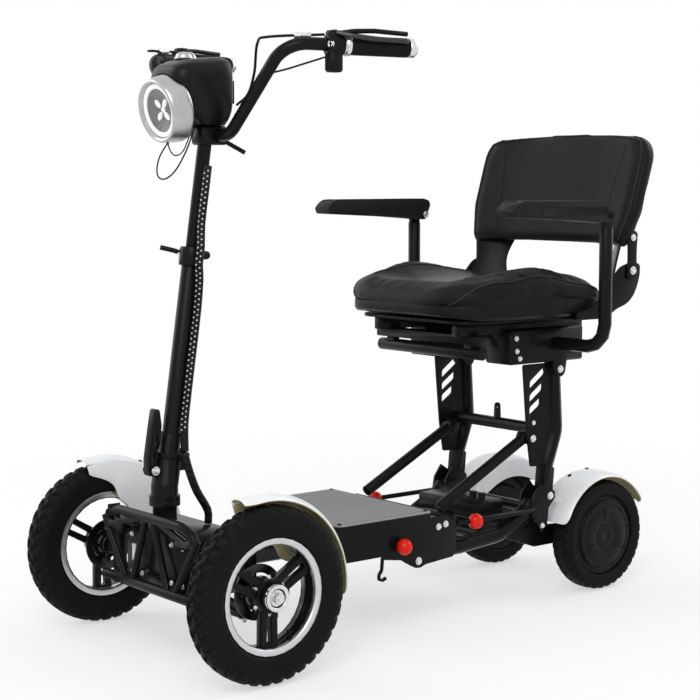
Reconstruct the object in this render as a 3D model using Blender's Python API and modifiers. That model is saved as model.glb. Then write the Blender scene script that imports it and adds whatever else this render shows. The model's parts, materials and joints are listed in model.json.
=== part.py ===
"""Folding four-wheel mobility scooter.

Metres, +Z up, +Y towards the rear, +X towards the rider's left. Sizes and places below are written from
the point on the ground under the front axle; the root empty then puts the middle of the whole vehicle at
the origin. One object for each sub-part, grouped under one empty for each moving body.
"""

import math

import bmesh
import bpy
from mathutils import Matrix, Vector

# Seats and running clearances
SEAT = 0.0003
RUN = 0.0006

# Wheels
WHEEL_STEPS = 32
REAR_STEPS = 28
WHEELBASE = 0.926
FRONT_HALF_TRACK = 0.268
FRONT_TYRE_R = 0.151
FRONT_TYRE_W = 0.055
FRONT_RIM_R = 0.099
FRONT_RIM_W = 0.043
RIM_WALL = 0.0115
SPOKE_ANGLES = (-90, 30, 150)
SPOKE_W = 0.034
SPOKE_SLOT = 0.012
SPOKE_T = 0.014
HUB_R = 0.021
DISC_R = 0.060
DISC_T = 0.003
AXLE_R = 0.006
REAR_HALF_TRACK = 0.1515
REAR_TYRE_R = 0.113
REAR_TYRE_W = 0.052
REAR_RIM_R = 0.080
MOTOR_W = 0.048

# Steering
STEER_Y = -0.027
STEER_ARM = 0.062
KINGPIN_X = 0.200
KINGPIN_R = 0.005
POST_R = 0.013
YOKE_TOP = 0.200
YOKE_LOW = 0.112
YOKE_T = 0.011
TIE_Z = 0.0945
TIE_R = 0.005
BALL_PIN_R = 0.0034

# Front block and spine
BLOCK_HALF = 0.105
BLOCK_Y = (-0.0445, 0.062)
BLOCK_Z = (0.114, 0.226)
GUARD_Y = -0.059
SPINE_HALF = 0.035
SPINE_Z = (0.140, 0.196)

# Deck
DECK_HALF = 0.151
DECK_TOP = 0.216
DECK_T = 0.0032
DECK_Y = (0.245, 0.469)
SIDE_T = 0.0045
TAIL_Y = 0.535

# Folding column
COLUMN_FOOT = (-0.0171, 0.360)
COLUMN_SLOPE = 0.150
HEAD_R = 0.0215
HEAD_TOP = 0.272
COLLAR_R = 0.0275
BLOCK_R = 0.024
FOLD_Z = 0.352
LATCH = (-0.0545, 0.331)
FOLD_Y = 0.0125
LOWER_R = 0.016
LOWER_BORE = 0.0132
UPPER_R = 0.0125
CLAMP_Z = 0.712
COLUMN_TOP = 0.905

# Handlebar
BAR_R = 0.011
BAR_Y = 0.083
BAR_Z = 0.915
GRIP_R = 0.0165
GRIP_L = 0.118

# Headlamp and console
LAMP_Y = -0.030
LAMP_Z = 0.952
LAMP_TILT = 17.0
LAMP_R = 0.054
CONSOLE_TOP = 1.032

# Rear frame and seat tower
RAIL_X = 0.130
RAIL_R = 0.016
RAIL_PATH = ((0.424, 0.1335), (0.560, 0.1345), (0.664, 0.143), (0.738, 0.180), (0.751, 0.1975))
KNOB_R = 0.0155
ROD_X = 0.1478
ROD_Z = 0.183
ROD_R = 0.005
HINGE = (0.789, 0.208)
HINGE_EYE = 0.015
LEG_R = 0.0145
LEG_EYE = 0.0150
LEG_PATH = ((0.813, 0.462), (0.8216, 0.3356), (0.794, 0.262))
SHEET = ((0.728, 0.474), (0.8134, 0.474), (0.8216, 0.3356), (0.794, 0.268), (0.752, 0.268), (0.7415, 0.331))
LEVEL = (0.813, 0.462)
SLOT_Y = 0.747
SLOT_H = 0.0115
SHEET_SLOTS = ((0.374, 0.028, 0.019), (0.399, 0.034, 0.024), (0.426, 0.040, 0.029))  # height, length, rise
STRUT_TOP = (0.755, 0.325)
STRUT_FOOT = (0.525, 0.210)
STRUT_X = 0.110
STRUT_R = 0.011
SHEET_T = 0.005

# Seat
BOX_X = (0.076, 0.150)
BOX_Y = (0.675, 0.880)
BOX_Z = (0.478, 0.547)
RAIL_TOP = 0.5640
PAN_T = 0.006
PAN_Z = RAIL_TOP + SEAT
CUSHION_HALF = 0.210
CUSHION_Y = (0.500, 0.900)
CUSHION_Z = PAN_Z + PAN_T + SEAT
BACK_PIVOT = (0.943, 0.658)
BACK_HALF = 0.233
BACK_T = 0.042
BACK_FOOT = (0.942, 0.699)
BACK_TOP = (1.006, 0.909)
ARM_X = 0.280
ARM_PIVOT = (0.800, 0.770)
ARM_R = 0.013
PAD_X = 0.272
PAD_W = 0.046
PAD_Y = (0.526, 0.814)
PAD_TOP = 0.800

# The middle of the vehicle's length, from the front tyre to the back of the folded-up backrest
REAR_END = 1.0439
MIDDLE_Y = (REAR_END - FRONT_TYRE_R) / 2

# name: (red, green, blue), roughness, metallic
FINISHES = {
    "black_paint": ((0.018, 0.018, 0.020), 0.38, 0.0),
    "black_cast": ((0.022, 0.022, 0.024), 0.45, 0.0),
    "black_plastic": ((0.020, 0.020, 0.022), 0.50, 0.0),
    "deck_grey": ((0.290, 0.295, 0.300), 0.80, 0.0),
    "fender_white": ((0.850, 0.850, 0.850), 0.30, 0.0),
    "knob_red": ((0.800, 0.035, 0.020), 0.25, 0.0),
    "bright_alloy": ((0.780, 0.780, 0.790), 0.25, 1.0),
    "tyre_rubber": ((0.025, 0.025, 0.026), 0.80, 0.0),
    "grip_rubber": ((0.020, 0.020, 0.020), 0.75, 0.0),
    "seat_leather": ((0.022, 0.022, 0.024), 0.42, 0.0),
    "lamp_glass": ((0.900, 0.920, 0.940), 0.05, 0.0),
    "cable_wrap": ((0.030, 0.030, 0.032), 0.55, 0.0),
}

for old in list(bpy.data.objects):
    bpy.data.objects.remove(old, do_unlink=True)
SCOOTER = bpy.data.collections.new("folding_scooter")
CUTTERS = bpy.data.collections.new("construction")
for group in (SCOOTER, CUTTERS):
    bpy.context.scene.collection.children.link(group)


def make_finish(name):
    colour, roughness, metallic = FINISHES[name]
    material = bpy.data.materials.new(name)
    material.use_nodes = True
    shader = material.node_tree.nodes["Principled BSDF"]
    shader.inputs["Base Color"].default_value = (*colour, 1.0)
    shader.inputs["Roughness"].default_value = roughness
    shader.inputs["Metallic"].default_value = metallic
    return material


MATERIALS = {name: make_finish(name) for name in FINISHES}
BODIES = {}


def add_body(name, parent=None, pivot=(0.0, 0.0, 0.0)):
    """An empty on the joint's axis, which carries the pieces of one moving body."""
    empty = bpy.data.objects.new("body_" + name, None)
    SCOOTER.objects.link(empty)
    pivot = Vector(pivot)
    if parent:
        empty.parent = BODIES[parent][0]
        empty.location = pivot - BODIES[parent][1]
    else:
        empty.location = (0.0, -MIDDLE_Y, 0.0)
    BODIES[name] = (empty, pivot)


def link(name, data, collection=SCOOTER):
    thing = bpy.data.objects.new(name, data)
    collection.objects.link(thing)
    return thing


def carry(thing, body):
    """Hangs an object, and what its Booleans use, on a body, and leaves it where it was modelled."""
    empty, pivot = BODIES[body]
    parts = [thing] + [m.object for m in thing.modifiers if m.type == "BOOLEAN"]
    for part in parts:
        part.parent = empty
        part.matrix_parent_inverse = Matrix.Translation(-pivot)


def node(thing, name, body, finish):
    """Names a finished piece and gives it its body and its material."""
    thing.name = name
    carry(thing, body)
    thing.data.materials.clear()
    thing.data.materials.append(MATERIALS[finish])
    if thing.type == "MESH":
        thing.data.shade_smooth()
        thing.data.set_sharp_from_angle(angle=math.radians(35))
    return thing


def as_mesh(thing):
    """A mesh object in place of a curve object, with the curve's caps welded on."""
    if thing.type == "MESH":
        return thing
    graph = bpy.context.evaluated_depsgraph_get()
    mesh = bpy.data.meshes.new_from_object(thing.evaluated_get(graph))
    work = bmesh.new()
    work.from_mesh(mesh)
    bmesh.ops.remove_doubles(work, verts=work.verts, dist=0.00001)
    bmesh.ops.recalc_face_normals(work, faces=work.faces)
    work.to_mesh(mesh)
    work.free()
    solid = link(thing.name, mesh)
    solid.matrix_basis = thing.matrix_basis.copy()
    bpy.data.objects.remove(thing, do_unlink=True)
    return solid


def boolean(target, others, operation):
    target = as_mesh(target)
    for other in others:
        other = as_mesh(other)
        SCOOTER.objects.unlink(other)
        CUTTERS.objects.link(other)
        other.hide_render = True
        other.display_type = "WIRE"
        modifier = target.modifiers.new(operation.lower(), "BOOLEAN")
        modifier.operation = operation
        modifier.object = other
    return target


def join(target, *others):
    return boolean(target, others, "UNION")


def cut(target, *others):
    return boolean(target, others, "DIFFERENCE")


def mirrored(thing, name, body, finish):
    """The right-hand twin of a finished left-hand piece."""
    graph = bpy.context.evaluated_depsgraph_get()
    mesh = bpy.data.meshes.new_from_object(thing.evaluated_get(graph))
    mesh.transform(Matrix.Diagonal((-1.0, 1.0, 1.0, 1.0)) @ thing.matrix_basis)
    mesh.flip_normals()
    return node(link(name, mesh), name, body, finish)


def box(low, high, bevel=0.0):
    """A block between two corners, with its edges rounded over."""
    low, high = Vector(low), Vector(high)
    mesh = bpy.data.meshes.new("block")
    work = bmesh.new()
    bmesh.ops.create_cube(work, size=1.0)
    bmesh.ops.scale(work, vec=high - low, verts=work.verts)
    work.to_mesh(mesh)
    work.free()
    block = link("block", mesh)
    block.location = (low + high) / 2
    if bevel:
        rounding = block.modifiers.new("edges", "BEVEL")
        rounding.width = bevel
        rounding.segments = 1
    return block


def pillar(foot, top, radius, sides=12, top_radius=None):
    """A round bar, or a cone, between two points."""
    foot, top = Vector(foot), Vector(top)
    run = top - foot
    mesh = bpy.data.meshes.new("bar")
    work = bmesh.new()
    bmesh.ops.create_cone(
        work,
        cap_ends=True,
        segments=sides,
        radius1=radius,
        radius2=radius if top_radius is None else top_radius,
        depth=run.length,
    )
    work.to_mesh(mesh)
    work.free()
    bar = link("bar", mesh)
    bar.location = (foot + top) / 2
    bar.rotation_mode = "QUATERNION"
    bar.rotation_quaternion = run.to_track_quat("Z", "Y")
    return bar


def ball(centre, radius, rings=7):
    mesh = bpy.data.meshes.new("ball")
    work = bmesh.new()
    bmesh.ops.create_uvsphere(work, u_segments=2 * rings, v_segments=rings, radius=radius)
    work.to_mesh(mesh)
    work.free()
    sphere = link("ball", mesh)
    sphere.location = centre
    return sphere


def bent(points, bend, steps=3):
    """The corner points of a tube with each inner corner turned into an arc."""
    points = [Vector(p) for p in points]
    path = [points[0]]
    for before, corner, after in zip(points, points[1:], points[2:]):
        back, ahead = (before - corner).normalized(), (after - corner).normalized()
        half = back.angle(ahead) / 2
        reach = min(bend / math.tan(half), 0.49 * (before - corner).length, 0.49 * (after - corner).length)
        start, end = corner + back * reach, corner + ahead * reach
        middle = corner + (back + ahead).normalized() * reach / math.cos(half)
        turn = (start - middle).angle(end - middle)
        for step in range(steps + 1):
            share = step / steps
            first = math.sin((1 - share) * turn) / math.sin(turn)
            second = math.sin(share * turn) / math.sin(turn)
            path.append(middle + (start - middle) * first + (end - middle) * second)
    path.append(points[-1])
    return path


def smooth_path(points, steps):
    """A flowing line through every point, for cables."""
    points = [Vector(p) for p in points]
    ends = [2 * points[0] - points[1]] + points + [2 * points[-1] - points[-2]]
    path = []
    for a, b, c, d in zip(ends, ends[1:], ends[2:], ends[3:]):
        for step in range(steps):
            t = step / steps
            path.append(
                0.5 * (2 * b + (c - a) * t + (2 * a - 5 * b + 4 * c - d) * t**2 + (3 * b - a - 3 * c + d) * t**3)
            )
    path.append(points[-1])
    return path


def tube(path, radius, resolution=2):
    """A round tube along a line of points."""
    curve = bpy.data.curves.new("tube", "CURVE")
    curve.dimensions = "3D"
    curve.bevel_depth = radius
    curve.bevel_resolution = resolution
    curve.use_fill_caps = True
    spline = curve.splines.new("POLY")
    spline.points.add(len(path) - 1)
    for point, place in zip(spline.points, path):
        point.co = (*place, 1.0)
    return link("tube", curve)


def rounded(outline, radius, steps=2):
    """A flat outline with its corners rounded. A corner may bring its own radius as a third number."""
    points = [Vector((p[0], p[1])) for p in outline]
    radii = [p[2] if len(p) > 2 else radius for p in outline]
    smooth = []
    count = len(points)
    for i in range(count):
        corner = points[i]
        back, ahead = points[i - 1] - corner, points[(i + 1) % count] - corner
        half = back.angle(ahead) / 2
        if radii[i] <= 0 or half > 1.55:
            smooth.append(corner)
            continue
        reach = min(radii[i] / math.tan(half), 0.49 * back.length, 0.49 * ahead.length)
        back, ahead = back.normalized(), ahead.normalized()
        start, end = corner + back * reach, corner + ahead * reach
        middle = corner + (back + ahead).normalized() * reach / math.cos(half)
        for step in range(steps + 1):
            way = (start - middle).lerp(end - middle, step / steps).normalized()
            smooth.append(middle + way * (start - middle).length)
    return smooth


def ring_of(centre, radius, start=0, end=360, steps=12):
    """Points on an arc, for eyes and lobes on a plate's outline."""
    count = steps if end - start == 360 else steps + 1
    turns = [math.radians(start + (end - start) * i / steps) for i in range(count)]
    return [(centre[0] + radius * math.cos(a), centre[1] + radius * math.sin(a)) for a in turns]


# Local x and y of an outline, and the direction in which it is extruded
PLANES = {
    "YZ": Matrix(((0, 0, 1), (1, 0, 0), (0, 1, 0))).to_4x4(),
    "XZ": Matrix(((1, 0, 0), (0, 0, -1), (0, 1, 0))).to_4x4(),
    "XY": Matrix.Identity(4),
}


def plate(outline, low, high, plane="YZ"):
    """A flat plate: its outline in the plane named, and its two faces along the third axis."""
    curve = bpy.data.curves.new("plate", "CURVE")
    curve.dimensions = "2D"
    curve.fill_mode = "BOTH"
    curve.extrude = (high - low) / 2
    spline = curve.splines.new("POLY")
    spline.points.add(len(outline) - 1)
    for point, place in zip(spline.points, outline):
        point.co = (place[0], place[1], 0.0, 1.0)
    spline.use_cyclic_u = True
    thing = link("plate", curve)
    middle = (high + low) / 2
    offset = Matrix.Translation((0, 0, -middle if plane == "XZ" else middle))
    thing.matrix_basis = PLANES[plane] @ offset
    return as_mesh(thing)


def turned(profile, place, direction, steps=32, closed=False):
    """A turned piece. The profile is (radius, height), down its outer side, about the direction."""
    mesh = bpy.data.meshes.new("turned")
    count = len(profile)
    edges = [(i, i + 1) for i in range(count - 1)] + ([(count - 1, 0)] if closed else [])
    mesh.from_pydata([(r, 0.0, z) for r, z in profile], edges, [])
    thing = link("turned", mesh)
    screw = thing.modifiers.new("turn", "SCREW")
    screw.angle = math.tau
    screw.steps = screw.render_steps = steps
    screw.use_merge_vertices = True
    screw.merge_threshold = 0.00001
    thing.location = place
    thing.rotation_mode = "QUATERNION"
    thing.rotation_quaternion = Vector(direction).to_track_quat("Z", "Y")
    return thing


def loft(sections):
    """A closed skin over rings of points that have the same count, with a flat cap at each end."""
    mesh = bpy.data.meshes.new("loft")
    work = bmesh.new()
    rings = [[work.verts.new(point) for point in section] for section in sections]
    for low, high in zip(rings, rings[1:]):
        for i in range(len(low)):
            work.faces.new((low[i - 1], low[i], high[i], high[i - 1]))
    work.faces.new(rings[0][::-1])
    work.faces.new(rings[-1])
    bmesh.ops.recalc_face_normals(work, faces=work.faces)
    work.to_mesh(mesh)
    work.free()
    return link("loft", mesh)


def column_at(z):
    """The centre of the leaning column at a height."""
    return Vector((0.0, COLUMN_FOOT[0] + (z - COLUMN_FOOT[1]) * COLUMN_SLOPE, z))


def build_bodies():
    # name, parent, pivot
    add_body("chassis")
    table = (
        ("steering_head", "chassis", (0, STEER_Y, HEAD_TOP)),
        ("column", "steering_head", (0, FOLD_Y, FOLD_Z)),
        ("upper_column", "column", column_at(CLAMP_Z)),
        ("handlebar", "upper_column", (0, BAR_Y, BAR_Z)),
        ("tie_rod", "steering_head", (0, STEER_Y + STEER_ARM, TIE_Z)),
        ("knuckle_l", "chassis", (KINGPIN_X, 0, FRONT_TYRE_R)),
        ("knuckle_r", "chassis", (-KINGPIN_X, 0, FRONT_TYRE_R)),
        ("front_wheel_l", "knuckle_l", (FRONT_HALF_TRACK, 0, FRONT_TYRE_R)),
        ("front_wheel_r", "knuckle_r", (-FRONT_HALF_TRACK, 0, FRONT_TYRE_R)),
        ("rear_wheel_l", "chassis", (REAR_HALF_TRACK, WHEELBASE, REAR_TYRE_R)),
        ("rear_wheel_r", "chassis", (-REAR_HALF_TRACK, WHEELBASE, REAR_TYRE_R)),
        ("seat_tower", "chassis", (0, *HINGE)),
        ("struts", "seat_tower", (0, *STRUT_TOP)),
        ("seat", "seat_tower", (0, *LEVEL)),
        ("backrest", "seat", (0, *BACK_PIVOT)),
        ("armrest_l", "seat", (ARM_X, *ARM_PIVOT)),
        ("armrest_r", "seat", (-ARM_X, *ARM_PIVOT)),
    )
    for name, parent, pivot in table:
        add_body(name, parent, pivot)


def build_front_frame():
    """The front block under the column, the yokes that hold the kingpins, and the spine to the deck."""
    frame = box((-BLOCK_HALF, BLOCK_Y[0], BLOCK_Z[0]), (BLOCK_HALF, BLOCK_Y[1], BLOCK_Z[1]), 0.006)
    pieces = [pillar((0, STEER_Y, BLOCK_Z[1] - 0.01), (0, STEER_Y, HEAD_TOP), HEAD_R, 20)]
    pieces.append(pillar((0, STEER_Y, HEAD_TOP - 0.006), (0, STEER_Y, HEAD_TOP + 0.004), COLLAR_R, 20))
    for side in (-1, 1):
        for low in (YOKE_LOW - YOKE_T, YOKE_TOP):
            ends = ((side * (BLOCK_HALF - 0.02), -0.014), (side * (BLOCK_HALF - 0.02), 0.014))
            eye = ring_of((side * KINGPIN_X, 0), 0.0125, -90 if side > 0 else 90, 90 if side > 0 else 270, 8)
            pieces.append(plate([ends[0]] + eye + [ends[1]] if side > 0 else [ends[1]] + eye + [ends[0]],
                                low, low + YOKE_T, "XY"))
        pieces.append(pillar((side * KINGPIN_X, 0, YOKE_LOW - YOKE_T / 2), (side * KINGPIN_X, 0, YOKE_TOP + YOKE_T / 2),
                             KINGPIN_R, 16))
    pieces.append(box((-SPINE_HALF, BLOCK_Y[1] - 0.01, SPINE_Z[0]), (SPINE_HALF, DECK_Y[0] - SEAT, SPINE_Z[1]), 0.004))
    frame = join(frame, *pieces)
    # The steering stem turns in a bore right through the head tube and the block.
    frame = cut(frame, pillar((0, STEER_Y, BLOCK_Z[0] - 0.02), (0, STEER_Y, HEAD_TOP + 0.02), 0.0125 + RUN, 20))
    node(frame, "front_frame", "chassis", "black_paint")


def build_front_guard():
    """The tube guard in front of the block: an arched upper tube, a lower tube and two pairs of braces."""
    radius = 0.0095
    back = BLOCK_Y[0] - SEAT
    upper = [(-0.085, GUARD_Y + 0.002, 0.212), (-0.168, GUARD_Y + 0.002, 0.226), (-0.100, GUARD_Y, 0.246),
             (0.100, GUARD_Y, 0.246), (0.168, GUARD_Y + 0.002, 0.226), (0.085, GUARD_Y + 0.002, 0.212)]
    guard = tube(bent(upper, 0.012, 2), radius, 2)
    braces = [pillar((-0.150, GUARD_Y - 0.002, 0.122), (0.150, GUARD_Y - 0.002, 0.122), radius, 10)]
    for side in (-1, 1):
        for x, z in ((0.092, 0.2125), (0.080, 0.122)):
            braces.append(pillar((side * x, back, z), (side * x, GUARD_Y, z), 0.006, 10))
        for top, top_z, foot, foot_z in ((0.152, 0.2285, 0.078, 0.122), (0.012, 0.244, 0.058, 0.122), (0.020, 0.244, 0.132, 0.2155)):
            braces.append(pillar((side * foot, GUARD_Y - 0.001, foot_z), (side * top, GUARD_Y, top_z), 0.0065, 8))
    node(join(guard, *braces), "front_guard", "chassis", "black_paint")


def build_deck():
    """The black deck box with its side plates, and the grey tread plate on top."""
    top = DECK_TOP - DECK_T - SEAT
    under = RAIL_PATH[0][1] + RAIL_R + SEAT
    floor = [(DECK_Y[0], top), (DECK_Y[1], top), (DECK_Y[1], under), (0.395, under), (0.355, 0.145), (DECK_Y[0], 0.145)]
    frame = plate(rounded(floor, 0.002, 1), -DECK_HALF, DECK_HALF)
    pieces = []
    tail = rounded([(0.360, 0.190, 0), (0.480, 0.205, 0.004), (0.508, 0.202, 0.006), (TAIL_Y, 0.186, 0.01),
                    (TAIL_Y - 0.004, 0.122, 0.008), (0.455, 0.116, 0.012), (0.437, 0.1095, 0.015),
                    (0.419, 0.118, 0.01), (0.395, 0.132, 0.01), (0.350, 0.139, 0.006), (0.345, 0.160, 0)], 0.004, 1)
    for side in (-1, 1):
        inner, outer = sorted((side * (DECK_HALF - SIDE_T), side * DECK_HALF))
        pieces.append(plate(tail, inner, outer))
        hook = [(0.352, 0.142), (0.350, 0.118), (0.341, 0.109), (0.347, 0.098), (0.360, 0.103)]
        path = [(side * (DECK_HALF - 0.004), y, z) for y, z in hook]
        pieces.append(tube(bent(path, 0.006, 1), 0.0035, 1))
    lug = strut_rest_height()
    pieces.append(pillar((-DECK_HALF + 0.002, lug[0], lug[1]), (DECK_HALF - 0.002, lug[0], lug[1]), 0.006, 12))
    node(join(frame, *pieces), "deck_frame", "chassis", "black_paint")
    tread = rounded([(-DECK_HALF, DECK_Y[0], 0.012), (DECK_HALF, DECK_Y[0], 0.012), (DECK_HALF, DECK_Y[1], 0.004),
                     (-DECK_HALF, DECK_Y[1], 0.004)], 0.004)
    node(plate(tread, DECK_TOP - DECK_T, DECK_TOP, "XY"), "deck_plate", "chassis", "deck_grey")


def strut_rest_height():
    """The cross bar under the struts' feet lies just below their lowest edge."""
    run = Vector(STRUT_TOP) - Vector(STRUT_FOOT)
    run.normalize()
    return (STRUT_FOOT[0] + run.y * STRUT_R, STRUT_FOOT[1] - run.x * STRUT_R - 0.006 - SEAT)


def build_rear_frame():
    """Two bent rails, their cross tubes, the release rods, and the cheeks that hold each seat leg's hinge pin."""
    rails = [tube(bent([(side * RAIL_X, y, z) for y, z in RAIL_PATH], 0.06, 3), RAIL_R, 3) for side in (1, -1)]
    pieces = [rails[1]]
    for y, z, radius in ((0.640, 0.141, 0.012), (0.745, 0.187, 0.011)):
        pieces.append(pillar((-RAIL_X, y, z), (RAIL_X, y, z), radius, 14))
    cheek = ring_of(HINGE, HINGE_EYE, -60, 110, 4) + [(0.762, 0.236), (0.744, 0.212), (0.738, 0.180),
                                                   (0.758, 0.150), (0.767, 0.137), (0.781, 0.150), (0.786, 0.185)]
    for side in (-1, 1):
        for offset in (-1, 1):
            inner = side * RAIL_X + offset * 0.0154
            pieces.append(plate(cheek, *sorted((inner, inner + offset * 0.0045))))
        pieces.append(pillar((side * RAIL_X - 0.018, *HINGE), (side * RAIL_X + 0.018, *HINGE), 0.005, 10))
        pieces.append(box((side * RAIL_X - 0.0185, 0.741, 0.168), (side * RAIL_X + 0.0185, 0.751, 0.181)))
        pieces.append(pillar((side * ROD_X, TAIL_Y + SEAT, ROD_Z), (side * ROD_X, 0.752, ROD_Z), ROD_R, 12))
    frame = join(rails[0], *pieces)
    node(frame, "rear_frame", "chassis", "black_paint")


def build_rear_axle():
    """The arms behind the rails, the tube between them and the stub axles of the two hub motors."""
    arm_x = (0.098, 0.1055)
    outline = [(0.700, 0.128), (0.790, 0.096), (WHEELBASE - 0.004, 0.096), (WHEELBASE + 0.014, 0.104),
               (WHEELBASE + 0.014, 0.124), (WHEELBASE - 0.006, 0.130), (0.800, 0.140), (0.772, 0.166), (0.700, 0.152)]
    pieces = []
    for side in (-1, 1):
        pieces.append(plate(rounded(outline, 0.006, 2), *sorted((side * arm_x[0], side * arm_x[1]))))
        stub = REAR_HALF_TRACK + MOTOR_W / 2 - 0.012
        pieces.append(pillar((side * arm_x[0], WHEELBASE, REAR_TYRE_R), (side * stub, WHEELBASE, REAR_TYRE_R), AXLE_R, 14))
        pieces.append(pillar((side * arm_x[1] - side * 0.002, WHEELBASE, REAR_TYRE_R),
                             (side * (REAR_HALF_TRACK - MOTOR_W / 2 - RUN), WHEELBASE, REAR_TYRE_R), 0.011, 14))
        # Spacer block against the rail's inner cheek plate
        pieces.append(box((min(side * 0.100, side * (RAIL_X - RAIL_R - 0.0045)), 0.752, 0.142),
                          (max(side * 0.100, side * (RAIL_X - RAIL_R - 0.0045)), 0.776, 0.160)))
    beam = pillar((-0.100, 0.850, 0.117), (0.100, 0.850, 0.117), 0.014, 16)
    node(join(beam, *pieces), "rear_axle_frame", "chassis", "black_paint")


def build_controller():
    """The sloping box between the rails, with two cable glands on top."""
    case = box((-0.084, 0.640, 0.166), (0.084, 0.726, 0.200), 0.005)
    glands = [pillar((x, 0.690, 0.190), (x, 0.690, 0.212), 0.008, 12) for x in (0.030, 0.055)]
    feet = box((-0.020, 0.634, 0.1534), (0.020, 0.646, 0.170))
    node(join(case, *glands, feet), "controller_box", "chassis", "black_plastic")


def build_rear_fender():
    """A band round the wheel with a turned-down inner edge, cut away below its front end."""
    profile = [(0.1235, 0.030), (0.1275, 0.027), (0.130, 0.016), (0.131, 0.0), (0.130, -0.030), (0.1275, -0.048),
               (0.1235, -0.058)]
    fender = fender_band(profile, REAR_HALF_TRACK, WHEELBASE, REAR_TYRE_R, 27, 163)
    stay = box((0.0932, 0.903, 0.108), (0.098 - SEAT, 0.945, REAR_TYRE_R + 0.1236))
    left = node(join(fender, stay), "rear_fender_l", "chassis", "fender_white")
    mirrored(left, "rear_fender_r", "chassis", "fender_white")


def fender_band(profile, x, y, z, start, end, steps=10):
    """A fender: its cross-section carried round the wheel's axis, then given its wall."""
    mesh = bpy.data.meshes.new("band")
    begin = math.radians(start)
    points = [(r * math.cos(begin), r * math.sin(begin), across) for r, across in profile]
    mesh.from_pydata(points, [(i, i + 1) for i in range(len(points) - 1)], [])
    band = link("band", mesh)
    screw = band.modifiers.new("sweep", "SCREW")
    screw.angle = math.radians(end - start)
    screw.steps = screw.render_steps = steps
    wall = band.modifiers.new("wall", "SOLIDIFY")
    wall.thickness = 0.0028
    wall.offset = 0.0
    band.matrix_basis = Matrix.Translation((x, y, z)) @ PLANES["YZ"]
    return band


def build_lock_knobs():
    """Two red ball knobs on each side: one on the deck's side plate, one on the release rod behind it."""
    front_x = DECK_HALF + KNOB_R
    shank = pillar((DECK_HALF + SEAT, 0.389, 0.161), (front_x, 0.389, 0.161), 0.005, 12)
    front = node(join(ball((front_x, 0.389, 0.161), KNOB_R), shank), "lock_knob_front_l", "chassis", "knob_red")
    mirrored(front, "lock_knob_front_r", "chassis", "knob_red")
    y = 0.583
    bore = pillar((ROD_X, y - 0.03, ROD_Z), (ROD_X, y + 0.03, ROD_Z), ROD_R + SEAT, 14)
    rear = node(cut(ball((ROD_X + 0.004, y, ROD_Z - 0.001), KNOB_R), bore), "lock_knob_rear_l", "chassis", "knob_red")
    mirrored(rear, "lock_knob_rear_r", "chassis", "knob_red")


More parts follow.
